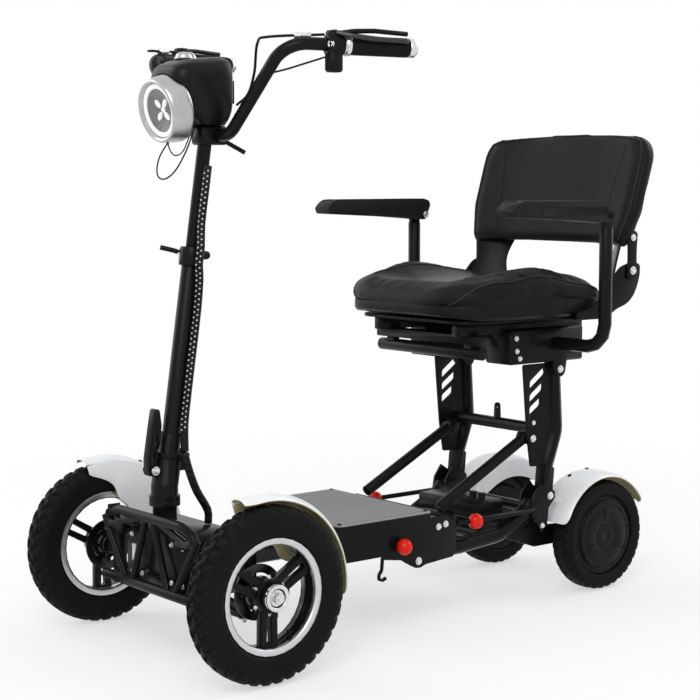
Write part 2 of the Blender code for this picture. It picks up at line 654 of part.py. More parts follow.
def build_wheels():
    """Front wheels: tyre, cast wheel, machined ring and hub with its brake disc. Rear: tyre and hub motor."""
    across = Vector((1, 0, 0))
    half = FRONT_TYRE_W / 2
    place = (FRONT_HALF_TRACK, 0, FRONT_TYRE_R)
    seat = FRONT_RIM_R + SEAT
    tread = [(seat, 0.021), (0.112, 0.0265), (0.130, half), (0.1450, 0.0215), (FRONT_TYRE_R, 0.0080)]
    tyre = turned(tread + [(r, -w) for r, w in tread[::-1]], place, across, WHEEL_STEPS, closed=True)
    wall = FRONT_RIM_R - RIM_WALL
    edge = FRONT_RIM_W / 2
    barrel = [(FRONT_RIM_R, edge - 0.010), (FRONT_RIM_R, -edge), (wall, -edge), (wall, edge - 0.010)]
    cast = turned(barrel, place, across, WHEEL_STEPS, closed=True)
    nave = pillar((FRONT_HALF_TRACK - 0.0215, 0, FRONT_TYRE_R), (FRONT_HALF_TRACK + 0.0128, 0, FRONT_TYRE_R), HUB_R + 0.008, 20)
    spokes = []
    slots = []
    for angle in SPOKE_ANGLES:
        turn = math.radians(angle)
        out = Vector((math.cos(turn), math.sin(turn)))
        beside = Vector((-out.y, out.x))
        centre = Vector((0, FRONT_TYRE_R))
        spokes.append(plate([centre + out * r + beside * w for r, w in (
            (0.012, -0.016), (wall + 0.003, -SPOKE_W / 2), (wall + 0.003, SPOKE_W / 2), (0.012, 0.016))],
            FRONT_HALF_TRACK - SPOKE_T / 2, FRONT_HALF_TRACK + SPOKE_T / 2))
        slot = rounded([centre + out * r + beside * w for r, w in (
            (HUB_R + 0.013, -0.004), (wall - 0.004, -SPOKE_SLOT / 2), (wall - 0.004, SPOKE_SLOT / 2), (HUB_R + 0.013, 0.004))],
            0.003, 2)
        slots.append(plate(slot, FRONT_HALF_TRACK - SPOKE_T, FRONT_HALF_TRACK + SPOKE_T))
    cast = join(cast, nave, *spokes)
    bore = pillar((FRONT_HALF_TRACK - 0.03, 0, FRONT_TYRE_R), (FRONT_HALF_TRACK + 0.03, 0, FRONT_TYRE_R), HUB_R + SEAT, 20)
    cast = cut(cast, *slots, bore)
    ring = turned([(FRONT_RIM_R, edge), (FRONT_RIM_R, edge - 0.010 + SEAT), (wall, edge - 0.010 + SEAT),
                   (wall, edge - 0.003), (wall + 0.003, edge)], place, across, WHEEL_STEPS, closed=True)
    hub = turned([(0.012, 0.0295), (0.0155, 0.0285), (0.0155, 0.0145), (HUB_R, 0.0135), (HUB_R, -0.022), (0.030, -0.023),
                  (0.030, -0.0325), (DISC_R, -0.0325), (DISC_R, -0.0325 - DISC_T), (AXLE_R + RUN, -0.0325 - DISC_T),
                  (AXLE_R + RUN, 0.0295)], place, across, 20, closed=True)
    rear = (REAR_HALF_TRACK, WHEELBASE, REAR_TYRE_R)
    rear_half = REAR_TYRE_W / 2
    rear_seat = REAR_RIM_R + SEAT
    rear_tread = [(rear_seat, 0.021), (0.090, 0.0250), (0.099, rear_half), (0.1090, 0.0205), (REAR_TYRE_R, 0.0070)]
    rear_tyre = turned(rear_tread + [(r, -w) for r, w in rear_tread[::-1]], rear, across, REAR_STEPS, closed=True)
    motor_half = MOTOR_W / 2
    shell = [(0.0, 0.0225), (0.012, 0.0225), (0.015, 0.0195), (0.052, 0.0205), (0.058, motor_half), (0.068, motor_half),
             (0.072, 0.0185), (REAR_RIM_R, 0.0175), (REAR_RIM_R, -0.0195), (0.066, -0.0205), (0.060, -motor_half),
             (AXLE_R + RUN, -motor_half), (AXLE_R + RUN, motor_half - 0.010), (0.0, motor_half - 0.010)]
    motor = turned(shell, rear, across, REAR_STEPS)
    notches = []
    for angle in (90, 210, 330):
        turn = math.radians(angle)
        spot = Vector((0, math.cos(turn), math.sin(turn))) * 0.070
        notches.append(pillar(Vector(rear) + spot + across * 0.0185, Vector(rear) + spot + across * 0.030, 0.007, 12))
    motor = cut(motor, *notches)
    pieces = (
        (tyre, "front_tyre", "front_wheel", "tyre_rubber"),
        (cast, "front_rim", "front_wheel", "black_cast"),
        (ring, "rim_ring", "front_wheel", "bright_alloy"),
        (hub, "front_hub", "front_wheel", "bright_alloy"),
        (rear_tyre, "rear_tyre", "rear_wheel", "tyre_rubber"),
        (motor, "hub_motor", "rear_wheel", "black_cast"),
    )
    for thing, name, body, finish in pieces:
        left = node(thing, name + "_l", body + "_l", finish)
        mirrored(left, name + "_r", body + "_r", finish)


def build_knuckles():
    """Each knuckle: a bored post on the kingpin, the stub axle with its nut, the steering arm, the caliper
    on its bracket and the stay that carries the fender."""
    low, high = YOKE_LOW + RUN, YOKE_TOP - RUN
    post = pillar((KINGPIN_X, 0, low), (KINGPIN_X, 0, high), POST_R, 24)
    level = FRONT_TYRE_R
    hub_end = FRONT_HALF_TRACK + 0.0295
    disc_back = FRONT_HALF_TRACK - 0.0325 - DISC_T
    arm = [(KINGPIN_X - 0.009, 0.0), (KINGPIN_X + 0.009, 0.0)] + ring_of((KINGPIN_X, STEER_ARM), 0.008, 0, 180, 8)
    pieces = [
        pillar((KINGPIN_X + 0.008, 0, level), (hub_end + 0.0155, 0, level), AXLE_R, 16),
        pillar((KINGPIN_X + 0.008, 0, level), (disc_back - RUN, 0, level), 0.011, 16),
        pillar((hub_end + RUN, 0, level), (hub_end + 0.0085, 0, level), 0.0105, 6),
        plate(arm, low, low + 0.008, "XY"),
        pillar((KINGPIN_X, STEER_ARM, TIE_Z - TIE_R), (KINGPIN_X, STEER_ARM, low + 0.004), BALL_PIN_R, 12),
        box((0.2085, 0.004, 0.138), (0.2155, 0.060, 0.166), 0.0015),
        box((0.214, 0.038, 0.134), (0.2455, 0.066, 0.170), 0.003),
        box((0.2175, -0.0125, level), (0.2215, 0.0125, 0.3095)),
        box((0.2175, -0.0125, 0.3060), (0.2450, 0.0125, 0.3095)),
    ]
    knuckle = join(post, *pieces)
    slot = box((disc_back - 0.0022, 0.030, 0.100), (disc_back + DISC_T + 0.0022, 0.0635, 0.2))
    bore = pillar((KINGPIN_X, 0, low - 0.01), (KINGPIN_X, 0, high + 0.01), KINGPIN_R + RUN, 12)
    knuckle = cut(knuckle, bore, slot)
    left = node(knuckle, "knuckle_l", "knuckle_l", "black_cast")
    mirrored(left, "knuckle_r", "knuckle_r", "black_cast")
    profile = [(0.1610, -0.0335), (0.1655, -0.030), (0.1680, -0.018), (0.1690, 0.0), (0.1680, 0.018), (0.1655, 0.030),
               (0.1610, 0.0335)]
    fender = fender_band(profile[::-1], FRONT_HALF_TRACK, 0, FRONT_TYRE_R, -7, 107)
    left = node(fender, "front_fender_l", "knuckle_l", "fender_white")
    mirrored(left, "front_fender_r", "knuckle_r", "fender_white")


def build_steering():
    """The stem with the pitman arm below and the hinge block above, the latch lever, and the tie rod."""
    seat = HEAD_TOP + 0.004 + RUN
    pitman_low = BLOCK_Z[0] - 0.0105
    pin_y = STEER_Y + STEER_ARM
    stem = pillar((0, STEER_Y, pitman_low), (0, STEER_Y, seat + 0.01), 0.0125, 20)
    pitman = [(-0.011, STEER_Y), (0.011, STEER_Y)] + ring_of((0, pin_y), 0.009, 0, 180, 8)
    pieces = [
        pillar((0, STEER_Y, seat), (0, STEER_Y, 0.2835), COLLAR_R, 20),
        pillar((0, STEER_Y, 0.282), (0, STEER_Y, 0.304), BLOCK_R, 20),
        pillar((0, STEER_Y, 0.300), (0, column_at(0.345).y, FOLD_Z - 0.006), BLOCK_R, 20),
        plate(pitman, pitman_low + 0.0004, BLOCK_Z[0] - RUN * 2, "XY"),
        pillar((0, pin_y, TIE_Z - TIE_R), (0, pin_y, pitman_low + 0.005), BALL_PIN_R, 12),
    ]
    # Hinge knuckles at the back of the block, either side of the column's own knuckle
    for side in (-1, 1):
        near, far = side * 0.0048, side * 0.0125
        pieces.append(pillar((near, FOLD_Y, FOLD_Z), (far, FOLD_Y, FOLD_Z), 0.0058, 14))
        low, high = sorted((near, far))
        pieces.append(box((low, -0.012, FOLD_Z - 0.026), (high, FOLD_Y + 0.004, FOLD_Z - 0.0105)))
        pieces.append(box((low, FOLD_Y - 0.0045, FOLD_Z - 0.020), (high, FOLD_Y + 0.0035, FOLD_Z - 0.001)))
    pieces.append(pillar((-0.0120, FOLD_Y, FOLD_Z), (0.0120, FOLD_Y, FOLD_Z), 0.0026, 10))
    # Ears on the front of the block, either side of the latch lever
    ear = column_at(LATCH[1]).y - BLOCK_R
    for side in (-1, 1):
        low, high = sorted((side * 0.0095, side * 0.0130))
        pieces.append(box((low, LATCH[0] - 0.007, LATCH[1] - 0.008), (high, ear + 0.012, LATCH[1] + 0.008)))
    stem = join(stem, *pieces)
    stem = cut(stem, pillar((-0.02, *LATCH), (0.02, *LATCH), 0.0035 + SEAT, 12))
    node(stem, "steering_stem", "steering_head", "black_paint")
    lever = [(-0.0640, 0.322), (-0.0520, 0.3195), (-0.0490, 0.326), (-0.0480, 0.345), (-0.0455, 0.362), (-0.0390, 0.384),
             (-0.0370, 0.410), (-0.0410, 0.438), (-0.0500, 0.438), (-0.0560, 0.405), (-0.0650, 0.350)]
    latch = join(plate(rounded(lever, 0.004, 2), -0.0090, 0.0090), pillar((-0.0155, *LATCH), (0.0155, *LATCH), 0.0035, 12))
    slots = []
    for y, z in ((-0.0550, 0.356), (-0.0490, 0.384)):
        slots.append(plate(rounded([(y - 0.003, z - 0.009), (y + 0.003, z - 0.009), (y + 0.005, z + 0.009),
                                    (y - 0.001, z + 0.009)], 0.002, 2), -0.02, 0.02))
    node(cut(latch, *slots), "fold_latch", "steering_head", "black_paint")
    rod = pillar((-KINGPIN_X + 0.006, STEER_ARM, TIE_Z), (KINGPIN_X - 0.006, STEER_ARM, TIE_Z), TIE_R, 12)
    tab = [(0.010, STEER_ARM + 0.003), (-0.010, STEER_ARM + 0.003)] + ring_of((0, pin_y), 0.009, 180, 360, 8)
    bits = [plate(tab, TIE_Z - TIE_R + 0.0012, TIE_Z + TIE_R - 0.0014, "XY")]
    holes = [pillar((0, pin_y, TIE_Z - 0.02), (0, pin_y, TIE_Z + 0.02), BALL_PIN_R + RUN, 14)]
    for x in (-KINGPIN_X, KINGPIN_X):
        bits.append(pillar((x, STEER_ARM, TIE_Z - TIE_R - 0.0006), (x, STEER_ARM, TIE_Z + TIE_R + 0.0006), 0.009, 16))
        holes.append(pillar((x, STEER_ARM, TIE_Z - 0.02), (x, STEER_ARM, TIE_Z + 0.02), BALL_PIN_R + RUN, 14))
    node(cut(join(rod, *bits), *holes), "tie_rod", "tie_rod", "bright_alloy")


def build_column():
    """The lower tube with its hinge knuckle, the height clamp with its lever, and the sliding upper tube."""
    foot, top = column_at(FOLD_Z - 0.0025), column_at(CLAMP_Z - 0.010)
    lower = pillar(foot, top, LOWER_R, 20)
    sleeve = pillar(foot, column_at(0.392), LOWER_R + 0.0025, 20)
    cap = pillar(foot, column_at(0.358), BLOCK_R, 20)
    knuckle = [pillar((-0.0042, FOLD_Y, FOLD_Z), (0.0042, FOLD_Y, FOLD_Z), 0.0058, 14),
               box((-0.0042, -0.010, FOLD_Z - 0.0015), (0.0042, FOLD_Y + 0.004, FOLD_Z + 0.012))]
    lower = join(lower, sleeve, cap, *knuckle)
    bore = pillar(column_at(0.430), column_at(CLAMP_Z), LOWER_BORE, 20)
    pin = pillar((-0.0140, FOLD_Y, FOLD_Z), (0.0140, FOLD_Y, FOLD_Z), 0.0026 + RUN, 12)
    node(cut(lower, bore, pin), "column_lower", "column", "black_paint")
    low = column_at(CLAMP_Z - 0.0095)
    clamp = pillar(column_at(CLAMP_Z - 0.026), column_at(CLAMP_Z + 0.006), LOWER_R + 0.0055, 20)
    ears = box((-0.030, low.y - 0.007, CLAMP_Z - 0.018), (0.0, low.y + 0.009, CLAMP_Z + 0.006), 0.002)
    lever = tube(bent([(-0.026, low.y, CLAMP_Z - 0.006), (-0.040, low.y - 0.010, CLAMP_Z), (-0.052, low.y - 0.032, CLAMP_Z + 0.006)],
                      0.01, 3), 0.0045, 2)
    knob = pillar((0, low.y + 0.015, CLAMP_Z - 0.008), (0, low.y + 0.036, CLAMP_Z - 0.008), 0.006, 12)
    clamp = join(clamp, ears, lever, knob)
    seat = pillar(column_at(CLAMP_Z - 0.03), column_at(CLAMP_Z - 0.0095), LOWER_R + SEAT, 20)
    slide = pillar(column_at(CLAMP_Z - 0.02), column_at(CLAMP_Z + 0.02), UPPER_R + RUN, 20)
    node(cut(clamp, seat, slide), "height_clamp", "column", "black_plastic")
    upper = pillar(column_at(0.640), column_at(COLUMN_TOP), UPPER_R, 20)
    head = box((-0.019, column_at(0.9).y - 0.017, BAR_Z - 0.0165), (0.019, BAR_Y + 0.018, BAR_Z + 0.017), 0.004)
    lever = tube(bent([(0.012, BAR_Y + 0.014, BAR_Z - 0.009), (0.020, BAR_Y + 0.028, BAR_Z - 0.018),
                       (0.034, BAR_Y + 0.044, BAR_Z - 0.030)], 0.01, 3), 0.004, 2)
    bore = pillar((-0.03, BAR_Y, BAR_Z), (0.03, BAR_Y, BAR_Z), BAR_R + RUN, 24)
    node(cut(join(upper, head, lever), bore), "column_upper", "upper_column", "black_paint")


def bar_corners():
    """Corners of the left half of the handlebar, from the clamp to the end of the grip."""
    return [Vector((0.050, BAR_Y, BAR_Z)), Vector((0.212, BAR_Y, 1.064)), Vector((0.272, 0.302, 1.062))]


def build_handlebar():
    """The bent bar, its grips, and a lever perch on each side."""
    half = bar_corners()
    corners = [Vector((-p.x, p.y, p.z)) for p in half[::-1]] + half
    start, end = half[1], half[2]
    along = (end - start).normalized()
    grip_end = end
    grip_start = grip_end - along * GRIP_L
    corners[0] = Vector((-(grip_end.x), grip_end.y, grip_end.z)) - Vector((-along.x, along.y, along.z)) * 0.006
    corners[-1] = grip_end - along * 0.006
    node(tube(bent(corners, 0.05, 3), BAR_R, 2), "handlebar", "handlebar", "black_paint")
    profile = [(0.0, 0.011), (0.007, 0.0095), (0.0125, 0.004), (0.0145, 0.0), (GRIP_R, -0.001), (GRIP_R, -GRIP_L + 0.004),
               (GRIP_R + 0.002, -GRIP_L + 0.002), (GRIP_R + 0.002, -GRIP_L), (BAR_R + SEAT, -GRIP_L), (BAR_R + SEAT, -0.0055),
               (0.0, -0.0055)]
    grip = turned(profile, grip_end, along, 16)
    left = node(grip, "grip_l", "handlebar", "grip_rubber")
    mirrored(left, "grip_r", "handlebar", "grip_rubber")
    perch_end = grip_start - along * 0.004
    perch_start = perch_end - along * 0.030
    middle = (perch_start + perch_end) / 2
    perch = pillar(perch_start, perch_end, BAR_R + 0.006, 20)
    pod = box(middle + Vector((-0.014, -0.013, -0.046)), middle + Vector((0.010, 0.013, -0.010)), 0.004)
    riser = box(middle + Vector((-0.012, -0.012, 0.008)), middle + Vector((0.008, 0.012, 0.024)), 0.003)
    blade = [middle + Vector((0.004, 0.0, 0.018)), middle + Vector((0.022, 0.012, 0.022)) + along * 0.01,
             middle + Vector((0.020, 0.0, 0.024)) + along * 0.06, middle + Vector((0.014, 0.0, 0.022)) + along * 0.125]
    lever = join(perch, pod, riser, tube(bent(blade, 0.02, 3), 0.0042, 2))
    lever = cut(lever, pillar(perch_start - along * 0.02, perch_end + along * 0.02, BAR_R + SEAT, 24))
    left = node(lever, "brake_lever_l", "handlebar", "black_plastic")
    mirrored(left, "brake_lever_r", "handlebar", "black_plastic")


def lamp_frame():
    """The middle of the lamp's face, and the way that it looks."""
    tilt = math.radians(LAMP_TILT)
    return Vector((0, LAMP_Y, LAMP_Z)), Vector((0, -math.cos(tilt), -math.sin(tilt)))


def build_headlamp():
    """The tilted round lamp: an open bowl with a wide bezel, and the glass set in it."""
    place, ahead = lamp_frame()
    bowl = [(0.0, -0.036), (0.030, -0.034), (0.041, -0.022), (0.0465, -0.0055), (0.0465, 0.002), (LAMP_R - 0.004, 0.002),
            (LAMP_R, -0.004), (LAMP_R, -0.012), (0.046, -0.030), (0.034, -0.042), (0.0, -0.044)]
    node(turned(bowl, place, ahead, 24), "headlamp", "upper_column", "bright_alloy")
    glass = [(0.0, 0.0042), (0.028, 0.0032), (0.0462, -0.0005), (0.0462, -0.0040), (0.0, -0.0040)]
    node(turned(glass, place, ahead, 24), "lamp_lens", "upper_column", "lamp_glass")


def build_console():
    """The control console over the column's head, with a socket that takes the back of the lamp."""
    place, ahead = lamp_frame()
    # height, front, back, half width, corner radius
    levels = (
        (0.9325, 0.040, 0.096, 0.026, 0.012),
        (0.9440, 0.018, 0.099, 0.040, 0.018),
        (0.9620, -0.002, 0.101, 0.051, 0.022),
        (0.9900, -0.018, 0.101, 0.056, 0.024),
        (1.0120, -0.024, 0.100, 0.056, 0.024),
        (1.0260, -0.016, 0.096, 0.050, 0.022),
        (CONSOLE_TOP, -0.002, 0.088, 0.040, 0.018),
    )
    sections = []
    for z, front, back, half, corner in levels:
        outline = rounded([(-half, front), (half, front), (half, back), (-half, back)], corner, 3)
        rise = 0.10 if z > 1.0 else 0.0
        sections.append([Vector((p.x, p.y, z + rise * (p.y - 0.04))) for p in outline])
    socket = [(0.0, 0.060), (LAMP_R + SEAT, 0.060), (LAMP_R + SEAT, -0.0122), (0.0463, -0.0303), (0.0342, -0.0423),
              (0.0, -0.0443)]
    console = cut(loft(sections), turned(socket, place, ahead, 24))
    node(console, "console", "upper_column", "black_plastic")


def build_cables():
    """The wrapped cable bundle down the left of the column, and its tail into the front block."""
    radius = 0.00725
    out = Vector((math.cos(math.radians(25)), math.sin(math.radians(25)), 0))
    high_out = Vector((math.cos(math.radians(-5)), math.sin(math.radians(-5)), 0))
    beside = LOWER_R + radius + 0.0012
    past_clamp = LOWER_R + 0.0055 + radius + 0.0012
    past_block = BLOCK_R + radius + 0.0012
    stops = [column_at(0.3620) + out * past_block]
    stops += [column_at(z) + out * (LOWER_R + 0.0025 + radius + 0.0012) for z in (0.395,)]
    stops += [column_at(z) + out * beside for z in (0.430, 0.52, 0.61)]
    stops += [column_at(0.665) + high_out.lerp(out, 0.5) * (beside + 0.003)]
    stops += [column_at(z) + high_out * past_clamp for z in (0.690, 0.720)]
    stops += [column_at(z) + high_out * (UPPER_R + radius + 0.0020) for z in (0.760, 0.82, 0.862)]
    bundle = tube(smooth_path(stops, 2), radius, 2)
    node(as_mesh(bundle), "cable_bundle", "column", "cable_wrap")
    start = column_at(0.3575) + out * past_block
    tail = [start, Vector((0.0325, 0.0045, 0.325)), Vector((0.0345, 0.018, 0.290)), Vector((0.026, 0.046, 0.252)),
            Vector((0.022, 0.050, BLOCK_Z[1] + 0.0012))]
    node(as_mesh(tube(smooth_path(tail, 3), radius, 2)), "cable_tail", "steering_head", "cable_wrap")


def build_seat_tower():
    """Two legs with slotted side sheets, hinge tongues below, eyes above and a cross tube with its lug."""
    legs = [tube(bent([(side * RAIL_X, y, z) for y, z in LEG_PATH], 0.05, 2), LEG_R, 2) for side in (1, -1)]
    pieces = [legs[1]]
    holes = []
    tongue = ring_of(HINGE, 0.0125, 190, 350, 7) + [(0.8065, 0.262), (0.783, 0.270)]
    for side in (-1, 1):
        inner, outer = sorted((side * (RAIL_X - LEG_R + 0.0006), side * (RAIL_X + LEG_R - 0.0006)))
        pieces.append(plate(tongue, inner, outer))
        pieces.append(pillar((side * (RAIL_X - LEG_R), *LEVEL), (side * (RAIL_X + LEG_R), *LEVEL), LEG_EYE, 14))
        low, high = sorted((side * (RAIL_X - SHEET_T / 2), side * (RAIL_X + SHEET_T / 2)))
        pieces.append(plate(rounded(SHEET, 0.004, 2), low, high))
        pieces.append(pillar((side * (STRUT_X - 0.0135), *STRUT_TOP), (side * RAIL_X, *STRUT_TOP), 0.005, 10))
        holes.append(pillar((side * (RAIL_X - 0.03), *HINGE), (side * (RAIL_X + 0.03), *HINGE), 0.005 + RUN, 12))
        holes.append(pillar((side * (RAIL_X - 0.004), *LEVEL), (side * (RAIL_X + 0.03), *LEVEL), 0.005 + RUN, 12))
        for z, length, rise in SHEET_SLOTS:
            front, rear = SLOT_Y, SLOT_Y + length
            slot = [(front, z), (rear, z + rise), (rear, z + rise + SLOT_H), (front, z + SLOT_H)]
            holes.append(plate(rounded(slot, 0.004, 1), *sorted((side * (RAIL_X - 0.02), side * (RAIL_X + 0.02)))))
    pieces.append(pillar((-RAIL_X, 0.785, 0.340), (RAIL_X, 0.785, 0.340), 0.012, 12))
    lug = rounded([(0.777, 0.340, 0), (0.793, 0.340, 0), (0.791, 0.382, 0.006), (0.779, 0.382, 0.006)], 0.004, 2)
    pieces.append(plate(lug, -0.003, 0.003))
    holes.append(pillar((-0.02, 0.785, 0.372), (0.02, 0.785, 0.372), 0.0035, 12))
    node(cut(join(legs[0], *pieces), *holes), "seat_tower", "seat_tower", "black_paint")


def build_struts():
    """The two front struts of the tower: each hangs on a pin of the sheet and rests on the deck's bar."""
    foot = Vector((STRUT_X, *STRUT_FOOT))
    top = Vector((STRUT_X, *STRUT_TOP))
    strut = pillar(foot, top, STRUT_R, 12)
    eye = pillar((STRUT_X - STRUT_R - 0.0005, *STRUT_TOP), (STRUT_X + STRUT_R + 0.0005, *STRUT_TOP), 0.0135, 14)
    bore = pillar((STRUT_X - 0.03, *STRUT_TOP), (STRUT_X + 0.03, *STRUT_TOP), 0.005 + RUN, 12)
    left = node(cut(join(strut, eye), bore), "strut_l", "struts", "black_paint")
    mirrored(left, "strut_r", "struts", "black_paint")


def build_seat_base():
    """The two slider boxes with their hinge ears, the front cross tube and bar, and the slide rails."""
    frame = box((-0.150, 0.584, 0.5220), (0.150, 0.612, 0.5400), 0.002)
    pieces = [pillar((-0.150, 0.600, 0.505), (0.150, 0.600, 0.505), 0.0125, 18)]
    for x in (-0.115, 0.115):
        pieces.append(box((x - 0.010, 0.592, 0.500), (x + 0.010, 0.608, 0.530)))
    ear = ring_of(LEVEL, 0.0155, -180, 0, 10) + [(LEVEL[0] + 0.022, 0.500), (LEVEL[0] - 0.022, 0.500)]
    for side in (-1, 1):
        inner, outer = side * BOX_X[0], side * BOX_X[1]
        low, high = sorted((inner, outer))
        pieces.append(box((low, BOX_Y[0], BOX_Z[0]), (high, BOX_Y[1], BOX_Z[1]), 0.004))
        low, high = sorted((side * 0.104, side * 0.128))
        pieces.append(box((low, 0.560, 0.538), (high, 0.900, RAIL_TOP), 0.002))
        pieces.append(plate(ear, *sorted((side * 0.1458, side * 0.1503))))
        pieces.append(pillar((side * 0.1285, *LEVEL), (side * 0.148, *LEVEL), 0.005, 10))
    # A cross beam ties the two boxes together
    pieces.append(pillar((-BOX_X[0] - 0.01, 0.820, 0.512), (BOX_X[0] + 0.01, 0.820, 0.512), 0.012, 16))
    node(join(frame, *pieces), "seat_base", "seat", "black_paint")


def build_armrests():
    """Each armrest: the post from the slider box, and the pad that turns up on the post's tongue."""
    y, z = ARM_PIVOT
    path = [(BOX_X[1] + SEAT + 0.0005, y, 0.515), (ARM_X, y, 0.515), (ARM_X, y, 0.748)]
    post = tube(bent(path, 0.045, 3), ARM_R, 2)
    tongue = [(y - 0.012, 0.735), (y + 0.012, 0.735)] + ring_of(ARM_PIVOT, 0.012, 0, 180, 8)
    bore = pillar((ARM_X - 0.02, *ARM_PIVOT), (ARM_X + 0.02, *ARM_PIVOT), 0.004 + RUN, 14)
    post = cut(join(post, plate(tongue, ARM_X - 0.004, ARM_X + 0.004)), bore)
    left = node(post, "armrest_post_l", "seat", "black_paint")
    mirrored(left, "armrest_post_r", "seat", "black_paint")
    side_view = rounded([(PAD_Y[0], 0.770, 0.010), (PAD_Y[0] + 0.028, PAD_TOP - 0.001, 0.030), (0.800, PAD_TOP, 0.010),
                         (PAD_Y[1] + 0.008, PAD_TOP - 0.006, 0.012), (PAD_Y[1] - 0.008, 0.7545, 0.008),
                         (0.700, 0.762, 0.02)], 0.01, 3)
    pad = plate(side_view, PAD_X - PAD_W / 2, PAD_X + PAD_W / 2)
    rounding = pad.modifiers.new("edges", "BEVEL")
    rounding.width = 0.006
    rounding.segments = 2
    rounding.limit_method = "ANGLE"
    rounding.angle_limit = math.radians(60)
    # The slot is open below and behind, so the tongue stays clear of it over the whole turn
    slot = box((ARM_X - 0.0055, y - 0.020, 0.70), (ARM_X + 0.0055, 0.90, PAD_TOP - 0.012))
    pin = pillar((ARM_X - 0.012, *ARM_PIVOT), (ARM_X + 0.012, *ARM_PIVOT), 0.004, 12)
    pad = join(cut(pad, slot), pin)
    left = node(pad, "armrest_pad_l", "armrest_l", "grip_rubber")
    mirrored(left, "armrest_pad_r", "armrest_r", "grip_rubber")


def build_seat_pan():
    """The plate under the cushion, with two ears that hold the backrest's pins."""
    half = 0.205
    pan = box((-half, 0.512, PAN_Z), (half, 0.902, PAN_Z + PAN_T), 0.0015)
    pieces = []
    ear = [(0.868, PAN_Z + 0.0004), (0.902, PAN_Z + 0.0004), (0.9565, 0.645)] + ring_of(BACK_PIVOT, 0.0135, -20, 170, 8)
    for side in (-1, 1):
        pieces.append(plate(rounded(ear, 0.0, 1), *sorted((side * (half + 0.0065), side * (half + 0.0115)))))
        pieces.append(box((min(side * (half - 0.01), side * (half + 0.0115)), 0.870, PAN_Z + 0.0008),
                          (max(side * (half - 0.01), side * (half + 0.0115)), 0.900, PAN_Z + PAN_T - 0.0008)))
        pieces.append(pillar((side * (half + 0.008), *BACK_PIVOT), (side * (half + 0.0195), *BACK_PIVOT), 0.004, 12))
    node(join(pan, *pieces), "seat_pan", "seat", "black_paint")


def build_cushion():
    """The seat cushion: a flat underside and a dished top with a bolster along each side."""
    # along Y, share of the width, height of the middle, height of the bolsters
    stations = (
        (0.500, 0.94, 0.598, 0.600), (0.503, 0.97, 0.618, 0.622), (0.512, 0.985, 0.630, 0.638), (0.535, 0.995, 0.636, 0.650),
        (0.580, 1.0, 0.638, 0.660), (0.640, 1.0, 0.640, 0.671), (0.700, 1.0, 0.641, 0.675), (0.760, 1.0, 0.640, 0.671),
        (0.820, 1.0, 0.638, 0.656), (0.858, 0.995, 0.631, 0.641), (0.882, 0.98, 0.619, 0.624), (0.895, 0.96, 0.605, 0.608),
        (0.900, 0.93, 0.597, 0.598),
    )
    sections = []
    for y, share, middle, side in stations:
        half = CUSHION_HALF * share
        low = CUSHION_Z
        wall = [(half - 0.008, low), (half - 0.002, low + 0.005), (half, low + 0.016)]
        rise = side - (low + 0.016)
        crown = [(half - 0.001, low + 0.016 + rise * 0.55), (half - 0.008, low + 0.016 + rise * 0.88), (half - 0.024, side),
                 (half - 0.048, side - (side - middle) * 0.30), (half - 0.075, middle + (side - middle) * 0.18),
                 (half * 0.42, middle)]
        right = wall + crown
        sections.append([Vector((x, y, z)) for x, z in right] + [Vector((0, y, middle + 0.001))]
                        + [Vector((-x, y, z)) for x, z in right[::-1]])
    node(loft(sections), "seat_cushion", "seat", "seat_leather")


def back_point(along, forward, x=0.0):
    """A point of the backrest: along its rear face from the foot, and forward from that face."""
    foot, top = Vector((0, *BACK_FOOT)), Vector((0, *BACK_TOP))
    run = (top - foot).normalized()
    ahead = Vector((0, -run.z, run.y))
    return foot + run * along + ahead * forward + Vector((x, 0, 0))


